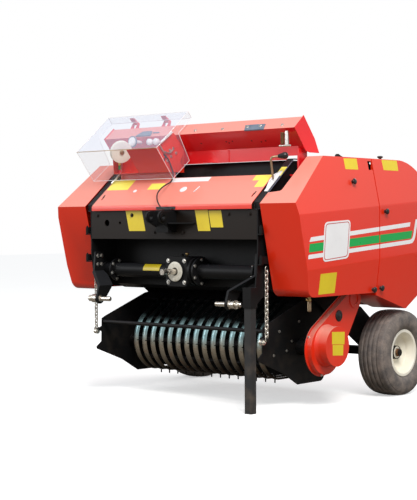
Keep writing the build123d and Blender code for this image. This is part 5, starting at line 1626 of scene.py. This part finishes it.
@dataclass
class TwineUnit:
    """Housing, twine box with what stands in it, and clear lid."""

    edge: float = 0.0009
    slope: Flat = (0.773, 0.634)
    lid_front: Flat = (0.017, 1.474)
    lid_x0: float = -0.765
    lid_x1: float = -0.095
    lid_drop: float = 0.225
    lid_depth: float = 0.357
    lid_back: float = 0.048
    sheet: float = 0.003
    rim_r: float = 0.0017
    tray_end_x: float = -0.124
    housing_front: Flat = (0.236, 1.561)
    disc_centre: Point = (-0.480, 0.122, 1.466)
    disc_axis: Point = (0.87, -0.38, -0.30)
    ball_xs: Flat = (-0.320, -0.198)

    def __post_init__(self) -> None:
        """Work out the housing's two panels."""
        c, s = self.slope
        origin = place(0.0, *self.housing_front)
        self.top = Panel(origin, LEFT, (0.0, c, s))
        self.down = Panel(origin, LEFT, (0.0, -s, c))

    def slant(self, start: Flat, up: float, down: float) -> Flat:
        """Run and height reached by going up the slope and then square down from it."""
        c, s = self.slope
        return (start[0] + up * c + down * s, start[1] + up * s - down * c)

    def lid(self) -> None:
        """Clear lid: bent sheet with two end plates, and nearly opaque white rods along its cut edges as a
        painted highlight.
        """
        front, depth, back, t = self.lid_front, self.lid_depth, self.lid_back, self.sheet
        low, top = self.slant(front, 0.0, self.lid_drop), self.slant(front, depth, 0.0)
        rear = self.slant(front, depth, back)
        notch = self.slant(front, depth - 0.150, back)
        edge = self.slant(front, depth - 0.177, back + 0.184)
        inner_front, inner_top = self.slant(front, t, t), self.slant(front, depth - t, t)
        wrap = [low, front, top, rear, self.slant(rear, -t, 0.0), inner_top, inner_front]
        wrap.append(self.slant(low, t, 0.0))
        panel = side_panel(0.0)
        mesh = slab(panel, wrap, self.lid_x0 + t, self.lid_x1 - t)
        ends = [low, front, top, rear, notch, edge]
        for x in (self.lid_x0, self.lid_x1 - t):
            slab(panel, ends, x, x + t, mesh)
        add_piece("lid_sheets", "twine_lid", outward(mesh, 20.0), Finish.CLEAR, "twine_lid")
        # White rods along the cut edges paint the highlight that the acrylic's edges catch.
        glint_rods = bmesh.new()
        for x in (self.lid_x0 + self.rim_r, self.lid_x1 - self.rim_r):
            tube([place(x, *p) for p in ends], self.rim_r, 6, True, glint_rods)
        for share, spot in ((1.0, low), (0.7, front), (0.7, top), (1.0, rear)):
            line = [place(x, *spot) for x in (self.lid_x0, self.lid_x1)]
            tube(line, self.rim_r * share, 6, False, glint_rods)
        add_piece("lid_edge_glints", "twine_lid", outward(glint_rods, 60.0), Finish.EDGE)
        fold = tube([place(x, *front) for x in (self.lid_x0 + 0.004, self.lid_x1 - 0.004)], 0.0021, 8)
        add_piece("lid_fold", "twine_lid", outward(fold, 60.0), Finish.TAN)

    def housing(self) -> None:
        """Housing in red lacquer and box in orange lacquer, with the plate, screws and thin dark discs of
        painted shade for the openings on the housing.
        """
        refine_nodes({"chassis": ("twine_housing", "housing_ends")}, Finish.RED, Slot.ORANGE, self.edge)
        refine_nodes({"chassis": ("twine_box",)}, Finish.ORANGE, Slot.ORANGE, self.edge)
        corners = [(0.381, -0.001), (0.520, -0.001), (0.504, 0.050), (0.359, 0.050)]
        plate = slab(self.top, rounded(corners, 0.004, 3), 0.0002, 0.0030)
        lip = box_corners(0.381, -0.004, 0.520, 0.002)
        slab(self.down, rounded(lip, 0.001, 3), -0.0005, 0.0026, plate)
        add_piece("housing_plate", "chassis", outward(plate, 30.0), Finish.SLATE)
        screws = ((0.385, 0.030), (0.478, 0.032), (0.201, 0.027), (0.634, 0.029), (-0.010, 0.030))
        on_plate, on_sheet = 0.0034, 0.0012
        lifts = [on_plate if corners[3][0] < x < corners[1][0] else on_sheet for x, _ in screws]
        spots = [(self.top.at(x, up, lift), self.top.out()) for (x, up), lift in zip(screws, lifts)]
        add_bolts("housing_screws", "chassis", spots, 0.0075)
        # Thin dark discs paint the shade inside the housing's openings.
        hole_shades = bmesh.new()
        row = ((0.016, 0.072), (0.396, 0.074), (0.209, 0.070), (0.226, 0.080), (0.255, 0.070), (0.461, 0.085))
        for x, low in (*row, (0.494, 0.080)):
            profile = [(0.0, 0.0), (0.0, 0.0045), (0.0003, 0.0045), (0.0003, 0.0)]
            turned(profile, self.down.at(x, -low, 0.0001), self.down.out(), 16, hole_shades)
        add_piece("housing_hole_shades", "chassis", outward(hole_shades), Finish.DARK)

    def tensioner(self) -> None:
        """Spring, arm and bolts of the twine tensioner under the housing's left end."""
        mesh = tube([place(0.660, 0.226, 1.470 + 0.066 * k / 6) for k in range(7)], 0.010, 14)
        coil = [(0.0, 0.009), (0.0012, 0.013), (0.0036, 0.013), (0.0048, 0.009)]
        for k in range(9):
            turned(coil, place(0.660, 0.226, 1.474 + 0.007 * k), UP, 18, mesh)
        add_piece("tensioner_spring", "chassis", outward(mesh, 60.0), Finish.RUST)
        arm = patch(Panel(place(0.690, 0.232, 1.500)), 0.020, 0.084, 0.0, 0.010, 0.004)
        add_piece("tensioner_arm", "chassis", outward(arm, 30.0), Finish.ZINC)
        bolt = tube([place(x, 0.224, 1.462) for x in (0.640, 0.716)], 0.0055, 12)
        add_piece("tensioner_bolt", "chassis", outward(bolt, 40.0), Finish.ZINC)

    def brake(self) -> None:
        """Brake disc and its spindle."""
        centre, axis = Vector(place(*self.disc_centre)), Vector(self.disc_axis).normalized()
        flange = [
            (-0.001, 0.0), (-0.001, 0.012), (0.0, 0.015), (0.0, 0.060), (-0.0016, 0.0672), (-0.004, 0.068),
        ]
        flange += [(-0.0066, 0.0668), (-0.008, 0.060), (-0.0085, 0.056), (-0.0195, 0.056), (-0.020, 0.060)]
        flange += [(-0.0216, 0.0668), (-0.024, 0.068), (-0.0266, 0.0672), (-0.028, 0.060), (-0.028, 0.0)]
        disc = outward(turned(flange[::-1], centre, axis, 56), 50.0)
        add_piece("brake_disc_shape", "chassis", disc, Finish.DISC, "twine_disc")
        rod = tube([centre + axis * 0.004, centre - axis * 0.098], 0.011, 16)
        end = [(0.0, 0.0), (0.0, 0.014), (0.006, 0.014), (0.009, 0.008), (0.010, 0.0)]
        turned(end, centre, axis, 24, rod)
        add_piece("brake_spindle", "chassis", outward(rod, 40.0), Finish.TAN)

    def balls(self) -> None:
        """Balls of twine in the box."""
        half = [(0.056, 0.016), (0.056, 0.048), (0.052, 0.055), (0.040, 0.0592)]
        profile = [(-d, r) for d, r in half] + [(0.0, 0.060)] + half[::-1]
        for k, x in enumerate(self.ball_xs):
            mesh = outward(turned(profile, place(x, 0.222, 1.4013), LEFT, 40, closed=True), 50.0)
            add_piece(f"twine_ball_{k + 1}", "chassis", mesh, Finish.TWINE, "twine_balls")

    def twine_drive(self) -> None:
        """Drive block with its knob and the guide rollers."""
        cap = [(-0.478, 0.004), (-0.352, 0.004), (-0.366, 0.048), (-0.444, 0.050)]
        block = slab(self.top, rounded(cap, 0.005, 3), 0.0003, 0.0075)
        slab(self.top, rounded(box_corners(-0.350, 0.030, -0.300, 0.038), 0.003, 3), 0.0003, 0.005, block)
        add_piece("drive_block", "chassis", outward(block, 30.0), Finish.SLATE)
        hub = place(-0.452, 0.262, 1.532)
        profile = [(0.0, 0.010), (0.060, 0.010), (0.064, 0.026), (0.076, 0.029), (0.084, 0.026), (0.086, 0.0)]
        add_piece("drive_knob", "chassis", outward(turned(profile, hub, AHEAD, 32), 50.0), Finish.WHITE)
        profile = [(0.072, 0.0295), (0.072, 0.0345), (0.080, 0.0345), (0.080, 0.0295)]
        ring = outward(turned(profile, hub, AHEAD, 32, closed=True), 40.0)
        add_piece("drive_ring", "chassis", ring, Finish.SLATE)
        rollers = bmesh.new()
        profile = [
            (0.0, 0.007), (0.030, 0.007), (0.031, 0.017), (0.036, 0.020), (0.052, 0.020), (0.058, 0.016),
        ]
        for x in (-0.345, -0.292):
            turned([*profile, (0.060, 0.0)], place(x, 0.268, 1.527), AHEAD, 24, rollers)
        add_piece("guide_rollers", "chassis", outward(rollers, 50.0), Finish.WHITE)

    def end_plate(self) -> None:
        """Arms, bolts and slot on the box's near end plate, the slot a dark patch of painted shade."""
        x = self.tray_end_x + 0.0012
        heads = (
            (0.118, 1.452), (0.160, 1.466), (0.190, 1.478), (0.172, 1.430), (0.138, 1.404), (0.215, 1.452),
        )
        add_bolts("end_plate_bolts", "chassis", [(place(x, run, z), LEFT) for run, z in heads], 0.0065)
        route = ((0.008, 0.060, 1.496), (0.008, 0.100, 1.452), (0.010, 0.150, 1.448), (0.010, 0.176, 1.470))
        path = bent([place(x + off, run, z) for off, run, z in route], 0.012)
        add_piece("twine_arm", "chassis", outward(tube(path, 0.0045, 10), 60.0), Finish.ZINC)
        rod = tube([place(x + 0.009, run, z) for run, z in ((0.074, 1.508), (0.168, 1.572))], 0.0075, 14)
        add_piece("twine_rod", "chassis", outward(rod, 40.0), Finish.WHITE)
        # The slot is a thin dark patch: painted shade in place of an opening.
        corners = [(0.104, 1.400), (0.112, 1.396), (0.130, 1.434), (0.122, 1.438)]
        slot = slab(side_panel(x - 0.0011), rounded(corners, 0.003, 3), 0.0, 0.0004)
        add_piece("end_plate_slot_shade", "chassis", slot, Finish.DARK)

    def build(self) -> None:
        """Build the twine unit."""
        self.lid()
        self.housing()
        self.tensioner()
        self.brake()
        self.balls()
        self.twine_drive()
        self.end_plate()


@dataclass
class Controls:
    """Lever, rods and brackets beside the hood, and the hose couplings."""

    slope: Point = (0.0, 0.773, 0.634)
    square: Point = (0.0, -0.634, 0.773)
    lever_x: float = 0.650
    lever_run: float = 0.088
    hood_z: float = 1.1333
    hood_rise: float = 0.8213
    post_x: float = -0.554
    coupling_x: float = 0.742
    cable_r: float = 0.004
    cable_length: float = 0.55
    cable_route: tuple[Point, ...] = (
        (-0.1225, 0.104, 1.440),
        (-0.112, 0.128, 1.424),
        (-0.108, 0.150, 1.378),
        (-0.112, 0.180, 1.330),
        (-0.116, 0.168, 1.282),
        (-0.100, 0.100, 1.262),
        (-0.082, 0.036, 1.240),
        (-0.070, -0.014, 1.204),
        (-0.050, -0.030, 1.158),
        (-0.012, -0.036, 1.120),
        (0.030, -0.026, 1.112),
        (0.042, -0.003, 1.122),
    )

    def lever(self) -> None:
        """Bracket, rod and pear-shaped knob of the lever."""
        slope, square = Vector(self.slope), Vector(self.square)
        foot = Vector(place(self.lever_x, self.lever_run, self.hood_z + self.lever_run * self.hood_rise))
        sole = rounded(box_corners(-0.011, 0.0, 0.011, 0.180), 0.003, 3)
        bracket = slab(Panel(foot, LEFT, slope), sole, 0.0005, 0.0055)
        web = Panel(foot - Vector((0.003, 0.0, 0.0)), slope, square)
        corners = [(0.010, 0.004), (0.172, 0.004), (0.125, 0.024), (0.072, 0.024)]
        slab(web, rounded(corners, 0.006, 4), -0.006, 0.0, bracket)
        add_piece("lever_bracket", "chassis", outward(bracket, 30.0), Finish.WHITE, node="lever")
        start = foot + slope * 0.095 + square * 0.014
        knee = Vector(place(self.lever_x, 0.131, 1.396))
        neck = Vector(place(self.lever_x + 0.036, 0.158, 1.401))
        rod = outward(tube(bent([start, knee, neck], 0.018), 0.006, 12), 60.0)
        add_piece("lever_rod", "chassis", rod, Finish.TAN, node="lever")
        profile = [
            (-0.006, 0.0), (-0.006, 0.0085), (0.0, 0.010), (0.012, 0.014), (0.026, 0.0185), (0.036, 0.0190),
        ]
        profile += [(0.045, 0.0165), (0.051, 0.010), (0.053, 0.0)]
        knob = outward(turned(profile, neck, neck - knee, 32), 60.0)
        add_piece("lever_knob", "chassis", knob, Finish.KNOB, "lever")

    def right_post(self) -> None:
        """Red post with its label patch and ring pull behind the right channel."""
        post = patch(Panel(place(self.post_x, 0.180, 1.391)), 0.024, 0.090, 0.0, 0.004, 0.003)
        add_piece("post", "chassis", outward(post, 30.0), Finish.RED)
        for name, z, finish in (("post_patch", 1.405, Finish.LEMON), ("post_patch_low", 1.378, Finish.GREEN)):
            label = patch(Panel(place(self.post_x, 0.1755, z)), 0.020, 0.026, 0.0001, 0.0005, 0.002)
            add_piece(name, "chassis", label, finish)
        route = (
            (-0.562, 0.205, 1.440), (-0.566, 0.200, 1.345), (-0.590, 0.170, 1.300), (-0.600, 0.150, 1.282),
        )
        rod = tube(bent([place(*spot) for spot in route], 0.03), 0.006, 12)
        add_piece("right_rod", "chassis", outward(rod, 60.0), Finish.ZINC)

    def couplers(self) -> None:
        """Pair of hose couplings on a short pipe under the left cover."""
        x = self.coupling_x
        route = [place(0.650, 0.360, 0.668), place(x, 0.360, 0.668), place(x, 0.358, 0.618)]
        pipe = outward(tube(bent(route, 0.016), 0.0055, 12), 60.0)
        add_piece("coupling_pipe", "chassis", pipe, Finish.BLACK)
        down = (0.0, 0.0, -1.0)
        profile = [(0.0, 0.006), (0.0, 0.0095), (0.014, 0.0095), (0.015, 0.012), (0.028, 0.012), (0.030, 0.0)]
        brass = turned(profile, place(x, 0.358, 0.624), down, 20)
        spigot = [(0.0, 0.0), (0.0, 0.006), (0.022, 0.006), (0.023, 0.0)]
        turned(spigot, place(x, 0.356, 0.606), AHEAD, 16, brass)
        add_piece("coupling_brass", "chassis", outward(brass, 40.0), Finish.BRASS)
        profile = [(0.0, 0.0), (0.0, 0.010), (0.004, 0.0115), (0.052, 0.0115), (0.056, 0.008), (0.057, 0.0)]
        sleeve = outward(turned(profile, place(x, 0.358, 0.5935), down, 20), 40.0)
        add_piece("coupling_sleeve", "chassis", sleeve, Finish.TAN)

    def cable(self) -> None:
        """Control cable from the twine box down to the hood's front lip, with the lip's grommet."""
        corners = box_corners(-0.085, 1.1155, 0.062, 1.132)
        grommet = slab(Panel(place(0.0, -0.0004, 0.0)), rounded(corners, 0.004, 3), 0.0, 0.003)
        add_piece("cable_grommet", "chassis", outward(grommet, 30.0), Finish.KNOB)
        curve = bpy.data.curves.new("control_cable", "CURVE")
        curve.dimensions = "3D"
        curve.bevel_depth = self.cable_r
        curve.bevel_resolution = 3
        curve.use_fill_caps = True
        spline = curve.splines.new("NURBS")
        spline.points.add(len(self.cable_route) - 1)
        for point, (x, run, z) in zip(spline.points, self.cable_route):
            point.co = (*place(x, run, z), 1.0)
        spline.order_u = 3
        spline.use_endpoint_u = True
        spline.resolution_u = 12
        piece = add_object("control_cable", curve)
        curve.materials.append(Finish.HOSE.material)
        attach(piece, "chassis")
        place(*self.cable_route[0])

    def build(self) -> None:
        """Build the controls."""
        self.cable()
        self.lever()
        self.right_post()
        self.couplers()


def main() -> None:
    """Build every sub-assembly in order."""
    logging.basicConfig(level=logging.INFO, format="%(name)s: %(message)s")
    for assembly in (Studio(), BodyPanels(), Chassis(), Pickup(), Wheels(), TwineUnit(), Controls()):
        log.info("building %s", type(assembly).__name__)
        assembly.build()
    bpy.context.view_layer.update()


if __name__ == "__main__":
    main()
